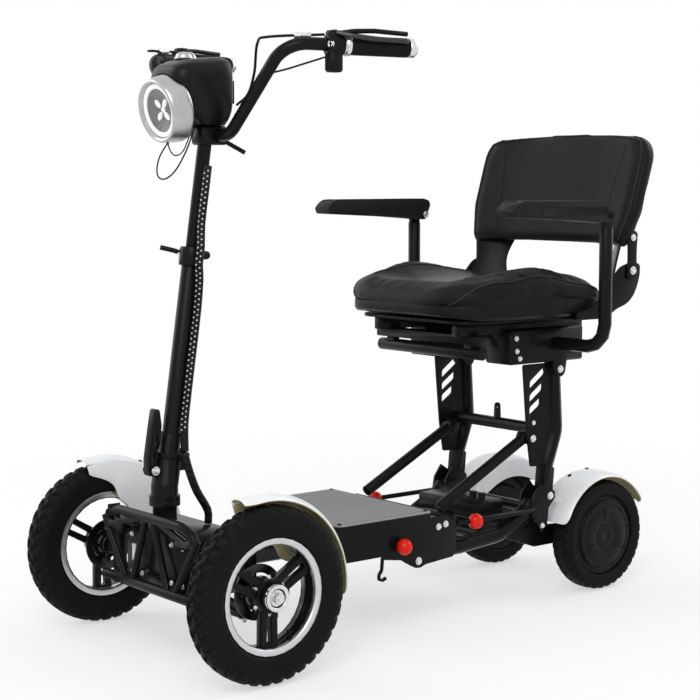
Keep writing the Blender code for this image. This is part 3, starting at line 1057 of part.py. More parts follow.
def build_backrest():
    """The backrest: side arms on the pan's pins, a rail and a back plate, and the upholstered pad."""
    height = (Vector(BACK_TOP) - Vector(BACK_FOOT)).length
    half_arm = (0.205 + 0.0125, 0.205 + 0.0175)
    arm = ring_of(BACK_PIVOT, 0.0135, 120, 330, 9)
    rear = [back_point(0.010, -0.018), back_point(0.075, -0.016), back_point(0.075, -0.0010), back_point(0.020, -0.0010)]
    arm += [(p.y, p.z) for p in rear]
    shell = [back_point(0.012, -0.0010), back_point(0.012, -0.0060), back_point(height - 0.03, -0.0060),
             back_point(height - 0.03, -0.0010)]
    frame = plate([(p.y, p.z) for p in shell], -0.190, 0.190)
    pieces = []
    holes = []
    for side in (-1, 1):
        pieces.append(plate(arm, *sorted((side * half_arm[0], side * half_arm[1]))))
        holes.append(pillar((side * 0.20, *BACK_PIVOT), (side * 0.24, *BACK_PIVOT), 0.004 + RUN, 14))
    rail = back_point(0.045, -0.0095)
    pieces.append(pillar((-half_arm[0] - 0.002, rail.y, rail.z), (half_arm[0] + 0.002, rail.y, rail.z), 0.0075, 14))
    node(cut(join(frame, *pieces), *holes), "backrest_frame", "backrest", "black_paint")
    sections = []
    steps = ((0.0, 0.92, 0.24), (0.004, 0.965, 0.42), (0.016, 0.99, 0.60), (0.05, 1.0, 0.90), (0.10, 1.0, 1.02),
             (0.15, 0.995, 1.0), (0.19, 0.985, 0.96), (height - 0.012, 0.97, 0.88), (height - 0.003, 0.945, 0.62),
             (height, 0.92, 0.30))
    for along, share, depth in steps:
        half = BACK_HALF * share
        thick = BACK_T * depth
        bow = 0.010 * min(1.0, depth)
        ring = []
        for x, forward in ((0.0, 0.0), (0.5, 0.0), (0.9, 0.0), (0.985, thick * 0.14), (1.0, thick * 0.45), (0.985, thick * 0.8),
                           (0.93, thick), (0.80, thick), (0.45, thick - bow * 0.6), (0.0, thick - bow)):
            ring.append((x * half, forward))
        points = [back_point(along, f, x) for x, f in ring]
        points += [back_point(along, f, -x) for x, f in ring[-2:0:-1]]
        sections.append(points)
    node(loft(sections), "backrest_pad", "backrest", "seat_leather")


def main():
    build_bodies()
    build_front_frame()
    build_front_guard()
    build_deck()
    build_rear_frame()
    build_rear_axle()
    build_controller()
    build_rear_fender()
    build_lock_knobs()
    build_wheels()
    build_knuckles()
    build_steering()
    build_column()
    build_handlebar()
    build_headlamp()
    build_console()
    build_cables()
    build_seat_tower()
    build_struts()
    build_seat_base()
    build_armrests()
    build_seat_pan()
    build_cushion()
    build_backrest()


main()
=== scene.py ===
"""The looks of a folding four-wheel mobility scooter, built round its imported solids.

Sizes are in metres. Places are written from the point on the ground under the front axle, as the
construction has them, and place() moves them to the frame, whose origin is under the middle.
"""

from __future__ import annotations

import json
import logging
import math
import random
from dataclasses import dataclass, field
from enum import Enum
from typing import Any, Callable, Sequence

import bmesh
import bpy
from mathutils import Matrix, Vector


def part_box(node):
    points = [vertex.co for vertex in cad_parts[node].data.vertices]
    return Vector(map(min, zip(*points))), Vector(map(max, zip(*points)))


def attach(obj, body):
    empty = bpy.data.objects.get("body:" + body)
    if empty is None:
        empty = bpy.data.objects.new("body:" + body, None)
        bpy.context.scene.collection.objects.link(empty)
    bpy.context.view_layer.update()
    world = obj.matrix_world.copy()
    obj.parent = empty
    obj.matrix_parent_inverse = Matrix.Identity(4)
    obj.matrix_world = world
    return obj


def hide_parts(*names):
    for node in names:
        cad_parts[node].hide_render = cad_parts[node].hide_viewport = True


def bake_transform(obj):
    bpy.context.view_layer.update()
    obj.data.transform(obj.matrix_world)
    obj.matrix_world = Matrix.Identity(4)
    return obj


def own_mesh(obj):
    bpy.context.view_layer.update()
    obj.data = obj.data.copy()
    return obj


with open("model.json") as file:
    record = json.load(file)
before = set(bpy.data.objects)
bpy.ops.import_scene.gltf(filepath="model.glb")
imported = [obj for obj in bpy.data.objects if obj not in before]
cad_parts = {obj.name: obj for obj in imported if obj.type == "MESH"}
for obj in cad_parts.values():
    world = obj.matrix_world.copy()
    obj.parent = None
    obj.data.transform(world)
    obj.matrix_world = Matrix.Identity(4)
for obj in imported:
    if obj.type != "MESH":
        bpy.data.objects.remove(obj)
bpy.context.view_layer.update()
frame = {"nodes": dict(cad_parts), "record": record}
LOG = logging.getLogger("scooter")
AXLE_Y = sum(corner[1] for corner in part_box("front_tyre_l")) / 2
UP = Vector((0, 0, 1))
ACROSS = Vector((1, 0, 0))

Point = Sequence[float]
Colour = tuple[float, float, float]


class Side(Enum):
    """The two sides of the scooter, with the sign of X on each."""

    LEFT = ("l", 1)
    RIGHT = ("r", -1)

    @property
    def tag(self) -> str:
        """The letter that node names end in."""
        return self.value[0]

    @property
    def sign(self) -> int:
        """The sign of X on this side."""
        return self.value[1]


def place(x: float, y: float, z: float) -> Vector:
    """Moves a point from under the front axle to the frame.

    Args:
        x: Distance to the rider's left.
        y: Distance behind the front axle.
        z: Height over the ground.

    Returns:
        The point in the frame.
    """
    return Vector((x, y + AXLE_Y, z))


# Shader nodes


class Value:
    """A number socket that takes part in sums as a Python number does."""

    def __init__(self, graph: Graph, socket: bpy.types.NodeSocket) -> None:
        """Keeps the socket and the graph that its sums go to."""
        self.graph = graph
        self.socket = socket

    def _sum(self, operation: str, first: Any, second: Any) -> Value:
        """Adds one Math node and returns its result."""
        node = self.graph.add("ShaderNodeMath", {"operation": operation}, {0: first, 1: second})
        return Value(self.graph, node.outputs[0])

    def __add__(self, other: Any) -> Value:
        """The sum."""
        return self._sum("ADD", self, other)

    __radd__ = __add__

    def __sub__(self, other: Any) -> Value:
        """The difference."""
        return self._sum("SUBTRACT", self, other)

    def __rsub__(self, other: Any) -> Value:
        """The difference from a number."""
        return self._sum("SUBTRACT", other, self)

    def __mul__(self, other: Any) -> Value:
        """The product."""
        return self._sum("MULTIPLY", self, other)

    __rmul__ = __mul__

    def over(self, limit: float) -> Value:
        """1 where the value is over the limit, and 0 elsewhere."""
        return self._sum("GREATER_THAN", self, limit)

    def ease(self, low: float, high: float) -> Value:
        """A smooth rise from 0 at low to 1 at high."""
        settings = {"interpolation_type": "SMOOTHSTEP"}
        node = self.graph.add("ShaderNodeMapRange", settings, {0: self, 1: low, 2: high, 3: 0.0, 4: 1.0})
        return Value(self.graph, node.outputs[0])


class Graph:
    """The nodes of one material."""

    def __init__(self, name: str) -> None:
        """Starts a material with no nodes but its output."""
        self.material = bpy.data.materials.new(name)
        self.material.use_nodes = True
        self.tree = self.material.node_tree
        self.tree.nodes.clear()
        self.out = self.tree.nodes.new("ShaderNodeOutputMaterial")

    def add(self, kind: str, settings: dict[str, Any] | None = None,
            inputs: dict[Any, Any] | None = None) -> bpy.types.Node:
        """Adds one node.

        Args:
            kind: The node's type.
            settings: Its own settings, set before its sockets. A list of stops goes to its colour ramp.
            inputs: A number, colour, socket or Value for each socket, by name or index.

        Returns:
            The node.
        """
        node = self.tree.nodes.new(kind)
        for key, value in (settings or {}).items():
            if key == "stops":
                self._set_stops(node, value)
            else:
                setattr(node, key, value)
        for key, value in (inputs or {}).items():
            socket = node.inputs[key]
            if isinstance(value, Value):
                self.tree.links.new(value.socket, socket)
            elif isinstance(value, bpy.types.NodeSocket):
                self.tree.links.new(value, socket)
            elif isinstance(value, tuple) and len(value) == 3 and socket.type == "RGBA":
                socket.default_value = (*value, 1.0)
            else:
                socket.default_value = value
        return node

    @staticmethod
    def _set_stops(node: bpy.types.Node, stops: Sequence[tuple[float, Colour]]) -> None:
        """Gives a colour ramp its stops."""
        elements = node.color_ramp.elements
        while len(elements) < len(stops):
            elements.new(1.0)
        for element, (position, colour) in zip(elements, stops):
            element.position = position
            element.color = (*colour, 1.0)

    def spot(self, centre: Point = (0, 0, 0), turn: Point = (0, 0, 0),
             scale: Point = (1, 1, 1)) -> bpy.types.NodeSocket:
        """The place on the piece, in metres, from a centre, turned and scaled."""
        coords = self.add("ShaderNodeTexCoord")
        moved = self.add("ShaderNodeVectorMath", {"operation": "SUBTRACT"},
                         {0: coords.outputs["Object"], 1: tuple(centre)})
        settings = {"vector_type": "POINT"}
        node = self.add("ShaderNodeMapping", settings, {0: moved.outputs[0], "Rotation": tuple(turn),
                                                        "Scale": tuple(scale)})
        return node.outputs[0]

    def axis(self, vector: bpy.types.NodeSocket, index: int) -> Value:
        """One coordinate of a vector."""
        node = self.add("ShaderNodeSeparateXYZ", None, {0: vector})
        return Value(self, node.outputs[index])

    def noise(self, scale: float, detail: float = 2.0, rough: float = 0.5,
              at: bpy.types.NodeSocket | None = None) -> Value:
        """Soft noise, with scale in cells to the metre."""
        sockets = {"Vector": at or self.spot(), "Scale": scale, "Detail": detail, "Roughness": rough}
        return Value(self, self.add("ShaderNodeTexNoise", None, sockets).outputs["Fac"])

    def cells(self, scale: float, feature: str = "F1", at: bpy.types.NodeSocket | None = None) -> Value:
        """Distance in a cell pattern, with scale in cells to the metre."""
        sockets = {"Vector": at or self.spot(), "Scale": scale}
        node = self.add("ShaderNodeTexVoronoi", {"feature": feature}, sockets)
        return Value(self, node.outputs["Distance"])

    def waves(self, scale: float, kind: str, direction: str, at: bpy.types.NodeSocket,
              distort: float = 0.0) -> Value:
        """Bands or rings, with scale in the wave node's own unit."""
        settings: dict[str, Any] = {"wave_type": kind}
        settings["bands_direction" if kind == "BANDS" else "rings_direction"] = direction
        node = self.add("ShaderNodeTexWave", settings, {"Vector": at, "Scale": scale, "Distortion": distort})
        return Value(self, node.outputs["Fac"])

    def mix(self, factor: Value | float, first: Any, second: Any) -> bpy.types.NodeSocket:
        """A colour between two colours."""
        node = self.add("ShaderNodeMix", {"data_type": "RGBA"}, {0: factor, 6: first, 7: second})
        return node.outputs[2]

    def bump(self, height: Value, depth: float, strength: float = 1.0,
             normal: Any = None) -> bpy.types.NodeSocket:
        """A normal bent by a height.

        Args:
            height: The height, from 0 to 1.
            depth: What 1 stands for, in metres.
            strength: How much of it shows.
            normal: The normal to bend, where there is one.

        Returns:
            The bent normal.
        """
        inputs = {"Height": height, "Distance": depth, "Strength": strength}
        if normal is not None:
            inputs["Normal"] = normal
        return self.add("ShaderNodeBump", None, inputs).outputs[0]

    def surface(self, **sockets: Any) -> bpy.types.Material:
        """Ends the material in a Principled shader.

        Args:
            **sockets: Its sockets, with an underscore for each space.

        Returns:
            The finished material.
        """
        inputs = {name.replace("_", " "): value for name, value in sockets.items()}
        shader = self.add("ShaderNodeBsdfPrincipled", None, inputs)
        self.tree.links.new(shader.outputs[0], self.out.inputs[0])
        return self.material


# Finishes


@dataclass(frozen=True)
class PowderCoat:
    """Black paint baked on tube and plate, with its slight orange peel and fine specks."""

    name: str
    tone: float = 0.0055
    roughness: float = 0.27
    peel: float = 0.00006
    cells: float = 420.0

    def make(self) -> bpy.types.Material:
        """Builds the material."""
        graph = Graph(self.name)
        broad = graph.noise(9.0, 3.0)
        grain = graph.noise(self.cells, 2.0, 0.45)
        fine = graph.noise(self.cells * 5, 1.0)
        dark, pale = self.tone * 0.8, self.tone * 1.35
        colour = graph.mix(broad, (dark, dark, dark * 1.06), (pale, pale, pale * 1.08))
        rough = broad * 0.10 + fine * 0.06 + (self.roughness - 0.08)
        normal = graph.bump(fine, self.peel * 0.3, 0.5, graph.bump(grain, self.peel))
        return graph.surface(Base_Color=colour, Roughness=rough, Normal=normal, Specular_IOR_Level=0.10)


@dataclass(frozen=True)
class Moulding:
    """Black plastic with the spark-eroded grain of its mould."""

    name: str
    tone: float = 0.0050
    roughness: float = 0.38
    grain: float = 1500.0
    depth: float = 0.00005

    def make(self) -> bpy.types.Material:
        """Builds the material."""
        graph = Graph(self.name)
        broad = graph.noise(14.0, 2.0)
        pits = graph.cells(self.grain)
        colour = graph.mix(broad, (self.tone * 0.85,) * 3, (self.tone * 1.3,) * 3)
        rough = broad * 0.08 + pits * 0.12 + (self.roughness - 0.08)
        normal = graph.bump(pits, self.depth, 0.6)
        return graph.surface(Base_Color=colour, Roughness=rough, Normal=normal, Specular_IOR_Level=0.11)


@dataclass(frozen=True)
class DeckRubber:
    """Matt grey sheet with a fine pebble and a little scuffing."""

    name: str = "deck_sheet"
    dark: float = 0.235
    pale: float = 0.295

    def make(self) -> bpy.types.Material:
        """Builds the material."""
        graph = Graph(self.name)
        broad = graph.noise(7.0, 4.0, 0.55)
        pebble = graph.cells(900.0, "SMOOTH_F1")
        scuff = graph.noise(60.0, 4.0, 0.6, graph.spot(scale=(1.0, 0.15, 1.0))).ease(0.62, 0.78)
        base = graph.mix(broad, (self.dark,) * 3, (self.pale,) * 3)
        colour = graph.mix(scuff * 0.25, base, (0.40, 0.40, 0.41))
        rough = broad * 0.08 + pebble * 0.10 + 0.66
        normal = graph.bump(pebble, 0.00012, 0.7)
        return graph.surface(Base_Color=colour, Roughness=rough, Normal=normal, Specular_IOR_Level=0.3)


@dataclass(frozen=True)
class FenderShell:
    """Gloss white over an olive-beige underside, told apart by which way the surface faces from the axle."""

    name: str
    axle: Point
    outside: Colour = (0.80, 0.805, 0.82)
    inside: Colour = (0.50, 0.455, 0.25)
    reach: float = 0.1585

    def make(self) -> bpy.types.Material:
        """Builds the material."""
        graph = Graph(self.name)
        spot = graph.spot(self.axle)
        flat = graph.add("ShaderNodeVectorMath", {"operation": "MULTIPLY"}, {0: spot, 1: (0.0, 1.0, 1.0)})
        radial = graph.add("ShaderNodeVectorMath", {"operation": "NORMALIZE"}, {0: flat.outputs[0]})
        facing = graph.add("ShaderNodeNewGeometry").outputs["Normal"]
        dot = graph.add("ShaderNodeVectorMath", {"operation": "DOT_PRODUCT"},
                        {0: radial.outputs[0], 1: facing})
        under = (0.0 - Value(graph, dot.outputs["Value"])).ease(0.25, 0.45)
        parts = graph.add("ShaderNodeSeparateXYZ", None, {0: spot})
        turn = graph.add("ShaderNodeSeparateXYZ", None, {0: facing})
        away = Value(graph, graph.add("ShaderNodeMath", {"operation": "SIGN"},
                                      {0: parts.outputs["X"]}).outputs[0])
        size = graph.add("ShaderNodeVectorMath", {"operation": "LENGTH"}, {0: flat.outputs[0]})
        skirt = (Value(graph, turn.outputs["X"]) * away).ease(0.5,
                                                              0.7) * (1.0 - Value(graph, size.outputs["Value"]).ease(self.reach - 0.001, self.reach))
        inner = (under + skirt).ease(0.0, 1.0)
        ripple = graph.noise(18.0, 2.0)
        dust = graph.noise(240.0, 4.0, 0.6)
        outside = graph.mix(ripple * 0.4, self.outside, tuple(part * 0.96 for part in self.outside))
        inside = graph.mix(dust, self.inside, tuple(part * 0.72 for part in self.inside))
        colour = graph.mix(inner, outside, inside)
        rough = inner * 0.42 + ripple * 0.04 + 0.17
        normal = graph.bump(ripple, 0.00025, 0.35)
        return graph.surface(Base_Color=colour, Roughness=rough, Normal=normal)


@dataclass(frozen=True)
class RedKnob:
    """Gloss red resin with a faint flow in its colour."""

    name: str = "knob_resin"
    colour: Colour = (0.74, 0.012, 0.002)

    def make(self) -> bpy.types.Material:
        """Builds the material."""
        graph = Graph(self.name)
        flow = graph.noise(130.0, 3.0)
        dark = tuple(part * 0.78 for part in self.colour)
        colour = graph.mix(flow, self.colour, dark)
        rough = flow * 0.08 + 0.16
        normal = graph.bump(flow, 0.00008, 0.3)
        return graph.surface(Base_Color=colour, Roughness=rough, Normal=normal, Specular_IOR_Level=0.22)


@dataclass(frozen=True)
class TurnedAlloy:
    """Bright metal with the fine rings that a lathe leaves round its axis."""

    name: str
    centre: Point = (0, 0, 0)
    tone: float = 0.62
    roughness: float = 0.24
    rings: float = 700.0

    def make(self) -> bpy.types.Material:
        """Builds the material."""
        graph = Graph(self.name)
        spot = graph.spot(self.centre)
        rings = graph.waves(self.rings, "RINGS", "X", spot, 0.6)
        patch = graph.noise(45.0, 3.0)
        colour = graph.mix(patch, (self.tone * 0.9,) * 3, (self.tone * 1.12, self.tone * 1.12,
                                                           self.tone * 1.14))
        rough = rings * 0.07 + patch * 0.10 + (self.roughness - 0.05)
        normal = graph.bump(rings, 0.00003, 0.5)
        return graph.surface(Base_Color=colour, Metallic=1.0, Roughness=rough, Normal=normal)


@dataclass(frozen=True)
class Rubber:
    """Black rubber with bloom and moulding grain."""

    name: str
    tone: float = 0.0055
    roughness: float = 0.50
    grain: float = 650.0

    def make(self) -> bpy.types.Material:
        """Builds the material."""
        graph = Graph(self.name)
        bloom = graph.noise(22.0, 4.0, 0.6)
        grain = graph.noise(self.grain, 3.0, 0.55)
        colour = graph.mix(bloom, (self.tone * 0.8,) * 3, (self.tone * 1.6, self.tone * 1.58,
                                                           self.tone * 1.55))
        rough = bloom * 0.14 + grain * 0.08 + (self.roughness - 0.10)
        normal = graph.bump(grain, 0.00012, 0.6)
        return graph.surface(Base_Color=colour, Roughness=rough, Normal=normal, Specular_IOR_Level=0.06)


@dataclass(frozen=True)
class Leather:
    """Black coated leather: a fine creased grain, wider wrinkles and a satin shine."""

    name: str = "seat_leather_black"
    tone: float = 0.0042
    roughness: float = 0.33
    grain: float = 620.0

    def make(self) -> bpy.types.Material:
        """Builds the material."""
        graph = Graph(self.name)
        broad = graph.noise(8.0, 4.0, 0.6)
        wander = graph.noise(90.0, 2.0)
        spot = graph.spot()
        pushed = graph.add("ShaderNodeVectorMath", {"operation": "MULTIPLY_ADD"},
                           {0: wander.socket, 1: (0.0016,) * 3, 2: spot})
        creases = graph.cells(self.grain, "DISTANCE_TO_EDGE", pushed.outputs[0]).ease(0.0, 0.16)
        fine = graph.noise(2400.0, 2.0)
        wrinkle = graph.noise(38.0, 4.0, 0.6, graph.spot(scale=(1.0, 2.4, 1.0)))
        colour = graph.mix(creases, (self.tone * 0.55,) * 3, (self.tone * 1.15,) * 3)
        worn = graph.mix(broad.ease(0.45, 0.75) * 0.45, colour,
                         (self.tone * 2.1, self.tone * 2.05, self.tone * 2.0))
        rough = broad * 0.12 + (1.0 - creases) * 0.16 + (self.roughness - 0.06)
        first = graph.bump(wrinkle, 0.0010, 0.35)
        second = graph.bump(creases, 0.00016, 0.75, first)
        normal = graph.bump(fine, 0.00004, 0.4, second)
        return graph.surface(Base_Color=worn, Roughness=rough, Normal=normal, Specular_IOR_Level=0.12)


@dataclass(frozen=True)
class Thread:
    """Piping and stitching in black yarn."""

    name: str = "seam_piping"
    tone: float = 0.010

    def make(self) -> bpy.types.Material:
        """Builds the material."""
        graph = Graph(self.name)
        strands = graph.waves(260.0, "BANDS", "DIAGONAL", graph.spot())
        fuzz = graph.noise(1900.0, 2.0)
        colour = graph.mix(strands, (self.tone * 0.6,) * 3, (self.tone * 1.4,) * 3)
        rough = fuzz * 0.2 + 0.45
        normal = graph.bump(strands, 0.00015, 0.6)
        return graph.surface(Base_Color=colour, Roughness=rough, Normal=normal, Specular_IOR_Level=0.25)


@dataclass(frozen=True)
class ClearGlass:
    """Clear lamp plastic with faint moulding waves."""

    name: str = "lamp_clear"
    alpha: float = 0.05
    tint: Colour = (0.93, 0.95, 0.97)

    def make(self) -> bpy.types.Material:
        """Builds the material."""
        graph = Graph(self.name)
        ripple = graph.noise(70.0, 2.0)
        colour = graph.mix(ripple, self.tint, tuple(part * 0.97 for part in self.tint))
        rough = ripple * 0.05 + 0.04
        alpha = ripple * 0.06 + self.alpha
        normal = graph.bump(ripple, 0.0002, 0.4)
        return graph.surface(Base_Color=colour, Roughness=rough, Alpha=alpha, Normal=normal, IOR=1.49)


@dataclass(frozen=True)
class LitRing:
    """The lamp's white light guide, which glows a little."""

    name: str = "halo_guide"
    glow: float = 0.22

    def make(self) -> bpy.types.Material:
        """Builds the material."""
        graph = Graph(self.name)
        dots = graph.cells(160.0)
        colour = graph.mix(dots, (0.88, 0.89, 0.92), (0.78, 0.79, 0.83))
        rough = dots * 0.2 + 0.25
        light = graph.mix(dots, (0.95, 0.97, 1.0), (0.80, 0.84, 0.92))
        return graph.surface(Base_Color=colour, Roughness=rough, Emission_Color=light,
                             Emission_Strength=self.glow)


@dataclass(frozen=True)
class SpiralWrap:
    """Cable sleeve of black plastic, with the turns of its wrap."""

    name: str = "cable_sleeve"
    tone: float = 0.008

    def make(self) -> bpy.types.Material:
        """Builds the material."""
        graph = Graph(self.name)
        turns = graph.waves(34.0, "BANDS", "Z", graph.spot(turn=(0.5, 0.35, 0.0)))
        fine = graph.noise(1200.0, 2.0)
        colour = graph.mix(turns, (self.tone * 0.6,) * 3, (self.tone * 1.5,) * 3)
        rough = fine * 0.15 + 0.38
        normal = graph.bump(turns, 0.0004, 0.7)
        return graph.surface(Base_Color=colour, Roughness=rough, Normal=normal, Specular_IOR_Level=0.11)


@dataclass(frozen=True)
class PalePlastic:
    """Off-white plastic of small tabs; the same material colours the pale balls on the cable sleeve, which are painted
    highlights.
    """

    name: str = "pale_tab_and_highlights"
    tone: float = 0.62

    def make(self) -> bpy.types.Material:
        """Builds the material."""
        graph = Graph(self.name)
        patch = graph.noise(120.0, 3.0)
        colour = graph.mix(patch, (self.tone,) * 3, (self.tone * 0.86, self.tone * 0.86, self.tone * 0.87))
        rough = patch * 0.15 + 0.3
        return graph.surface(Base_Color=colour, Roughness=rough, Normal=graph.bump(patch, 0.0001, 0.4))


# Modelling


def deselect() -> None:
    """Leaves edit mode and selects nothing."""
    if bpy.context.object and bpy.context.object.mode != "OBJECT":
        bpy.ops.object.mode_set(mode="OBJECT")
    bpy.ops.object.select_all(action="DESELECT")


def pick(piece: bpy.types.Object) -> None:
    """Makes one piece the only selected one."""
    deselect()
    piece.select_set(True)
    bpy.context.view_layer.objects.active = piece


def settle(piece: bpy.types.Object) -> bpy.types.Object:
    """Moves a piece's place, turn and scale into its mesh."""
    pick(piece)
    bpy.ops.object.transform_apply(location=True, rotation=True, scale=True)
    return piece


def toward(axis: Vector) -> tuple[float, float, float]:
    """The turn that points a primitive's Z along an axis."""
    return tuple(Vector(axis).to_track_quat("Z", "Y").to_euler())


def disc(centre: Vector, axis: Vector, radius: float, depth: float, sides: int = 32) -> bpy.types.Object:
    """Adds a cylinder that stands along an axis.

    Args:
        centre: Its middle.
        axis: The way that it stands.
        radius: Its radius.
        depth: Its length.
        sides: The number of its sides.

    Returns:
        The new piece.
    """
    deselect()
    bpy.ops.mesh.primitive_cylinder_add(vertices=sides, radius=radius, depth=depth, location=centre,
                                        rotation=toward(axis))
    return settle(bpy.context.object)


def block(centre: Vector, size: Point) -> bpy.types.Object:
    """Adds a box of a size."""
    deselect()
    bpy.ops.mesh.primitive_cube_add(size=1.0, location=centre)
    bpy.context.object.scale = size
    return settle(bpy.context.object)


def ball(centre: Vector, radius: float, segments: int = 24, rings: int = 14) -> bpy.types.Object:
    """Adds a sphere."""
    deselect()
    bpy.ops.mesh.primitive_uv_sphere_add(segments=segments, ring_count=rings, radius=radius, location=centre)
    return settle(bpy.context.object)


def ring(centre: Vector, axis: Vector, radius: float, thick: float, steps: int = 64,
         sides: int = 12) -> bpy.types.Object:
    """Adds a torus round an axis."""
    deselect()
    bpy.ops.mesh.primitive_torus_add(major_radius=radius, minor_radius=thick, major_segments=steps,
                                     minor_segments=sides,
                                     location=centre, rotation=toward(axis))
    return settle(bpy.context.object)


def choose(piece: bpy.types.Object, test: Callable[[bpy.types.MeshPolygon], bool]) -> None:
    """Enters edit mode with only the faces that pass a test selected."""
    pick(piece)
    bpy.ops.object.mode_set(mode="EDIT")
    bpy.ops.mesh.select_mode(type="FACE")
    bpy.ops.mesh.select_all(action="DESELECT")
    bpy.ops.object.mode_set(mode="OBJECT")
    for face in piece.data.polygons:
        face.select = test(face)
    bpy.ops.object.mode_set(mode="EDIT")


def end_edit(piece: bpy.types.Object) -> bpy.types.Object:
    """Merges doubles, turns the faces outwards and leaves edit mode."""
    bpy.ops.mesh.select_all(action="SELECT")
    bpy.ops.mesh.remove_doubles(threshold=0.00001)
    bpy.ops.mesh.normals_make_consistent(inside=False)
    bpy.ops.object.mode_set(mode="OBJECT")
    return piece


def modify(piece: bpy.types.Object, kind: str, **settings: Any) -> bpy.types.Object:
    """Adds a modifier and applies it.

    Args:
        piece: What it works on.
        kind: The modifier's type.
        **settings: Its settings.

    Returns:
        The same piece.
    """
    pick(piece)
    modifier = piece.modifiers.new(kind.lower(), kind)
    for key, value in settings.items():
        setattr(modifier, key, value)
    bpy.ops.object.modifier_apply(modifier=modifier.name)
    return piece


def round_edges(piece: bpy.types.Object, width: float, steps: int = 2,
                angle: float = 32.0) -> bpy.types.Object:
    """Rounds the sharp edges and shades the rest smooth."""
    modify(piece, "BEVEL", width=width, segments=steps, limit_method="ANGLE", angle_limit=math.radians(angle),
           use_clamp_overlap=True)
    return shade(piece)


def shade(piece: bpy.types.Object, angle: float = 40.0) -> bpy.types.Object:
    """Shades smooth, with edges over an angle left sharp."""
    pick(piece)
    bpy.ops.object.shade_smooth_by_angle(angle=math.radians(angle))
    return piece


def merge(name: str, pieces: Sequence[bpy.types.Object]) -> bpy.types.Object:
    """Joins pieces into one named object."""
    deselect()
    for piece in pieces:
        piece.select_set(True)
    bpy.context.view_layer.objects.active = pieces[0]
    if len(pieces) > 1:
        bpy.ops.object.join()
    pieces[0].name = name
    pieces[0].data.name = name
    return pieces[0]


def copy_of(piece: bpy.types.Object, moved: Matrix) -> bpy.types.Object:
    """Copies a piece with its own mesh and moves the copy."""
    twin = piece.copy()
    twin.data = piece.data.copy()
    bpy.context.scene.collection.objects.link(twin)
    twin.hide_viewport = False
    twin.hide_render = False
    twin.hide_set(False)
    twin.data.transform(moved)
    if moved.determinant() < 0:
        twin.data.flip_normals()
    return twin


def skin(name: str, rows: Sequence[Sequence[Vector]], closed: bool = True,
         looped: bool = False) -> bpy.types.Object:
    """Makes a skin over rings of points, closed at both ends.

    Args:
        name: The new piece's name.
        rows: The rings, each with the same number of points.
        closed: Whether each ring closes on itself.
        looped: Whether the last ring meets the first one, with no end caps.

    Returns:
        The new piece.
    """
    mesh = bpy.data.meshes.new(name)
    shell = bmesh.new()
    rings = [[shell.verts.new(point) for point in row] for row in rows]
    count = len(rings[0])
    last = count if closed else count - 1
    for low, high in zip(rings, rings[1:] + (rings[:1] if looped else [])):
        for index in range(last):
            nxt = (index + 1) % count
            shell.faces.new((low[index], low[nxt], high[nxt], high[index]))
    if closed and not looped:
        for row, flip in ((rings[0], True), (rings[-1], False)):
            shell.faces.new(row[::-1] if flip else row)
    bmesh.ops.recalc_face_normals(shell, faces=shell.faces)
    shell.to_mesh(mesh)
    shell.free()
    piece = bpy.data.objects.new(name, mesh)
    bpy.context.scene.collection.objects.link(piece)
    return piece


def turned(name: str, centre: Vector, axis: Vector, profile: Sequence[tuple[float, float]],
           steps: int = 64) -> bpy.types.Object:
    """Spins a profile round an axis.

    Args:
        name: The new piece's name.
        centre: The point that the profile's lengths are from.
        axis: The axis.
        profile: Radius and length of each point, from one end of the axis to the other.
        steps: The number of steps round.

    Returns:
        The new piece.
    """
    frame_turn = Vector(axis).normalized().to_track_quat("Z", "Y").to_matrix()
    rows = []
    for radius, length in profile:
        row = []
        for step in range(steps):
            turn = 2 * math.pi * step / steps
            flat = Vector((math.cos(turn) * max(radius, 0.00005), math.sin(turn) * max(radius, 0.00005),
                           length))
            row.append(Vector(centre) + frame_turn @ flat)
        rows.append(row)
    piece = skin(name, rows)
    pick(piece)
    bpy.ops.object.mode_set(mode="EDIT")
    return shade(end_edit(piece))


def hoop(name: str, centre: Vector, axis: Vector, section: Sequence[tuple[float, float]],
         steps: int = 96) -> bpy.types.Object:
    """Spins a closed section round an axis, so that the middle stays open.

    Args:
        name: The new piece's name.
        centre: The point that the section's lengths are from.
        axis: The axis.
        section: Radius and length of each corner of the section.
        steps: The number of steps round.

    Returns:
        The new piece.
    """
    frame_turn = Vector(axis).normalized().to_track_quat("Z", "Y").to_matrix()
    rows = []
    for step in range(steps):
        turn = 2 * math.pi * step / steps
        rows.append([Vector(centre) + frame_turn @ Vector((math.cos(turn) * radius, math.sin(turn) * radius,
                                                           length))
                     for radius, length in section])
    return shade(skin(name, rows, looped=True))


def smooth_line(points: Sequence[Vector], count: int) -> list[Vector]:
    """Points at even steps along a smooth curve through the given ones."""
    dense: list[Vector] = []
    padded = [points[0] * 2 - points[1], *points, points[-1] * 2 - points[-2]]
    for first, start, stop, last in zip(padded, padded[1:], padded[2:], padded[3:]):
        for step in range(16):
            t = step / 16
            dense.append(0.5 * ((2 * start) + (stop - first) * t + (2 * first - 5 * start + 4 * stop - last) * t * t
                                + (3 * start - first - 3 * stop + last) * t ** 3))
    dense.append(Vector(points[-1]))
    lengths = [0.0]
    for start, stop in zip(dense, dense[1:]):
        lengths.append(lengths[-1] + (stop - start).length)
    line = []
    place_at = 0
    for index in range(count):
        goal = lengths[-1] * index / (count - 1)
        while place_at < len(dense) - 2 and lengths[place_at + 1] < goal:
            place_at += 1
        span = max(lengths[place_at + 1] - lengths[place_at], 1e-9)
        line.append(dense[place_at].lerp(dense[place_at + 1],
                                         min(max((goal - lengths[place_at]) / span, 0.0), 1.0)))
    return line


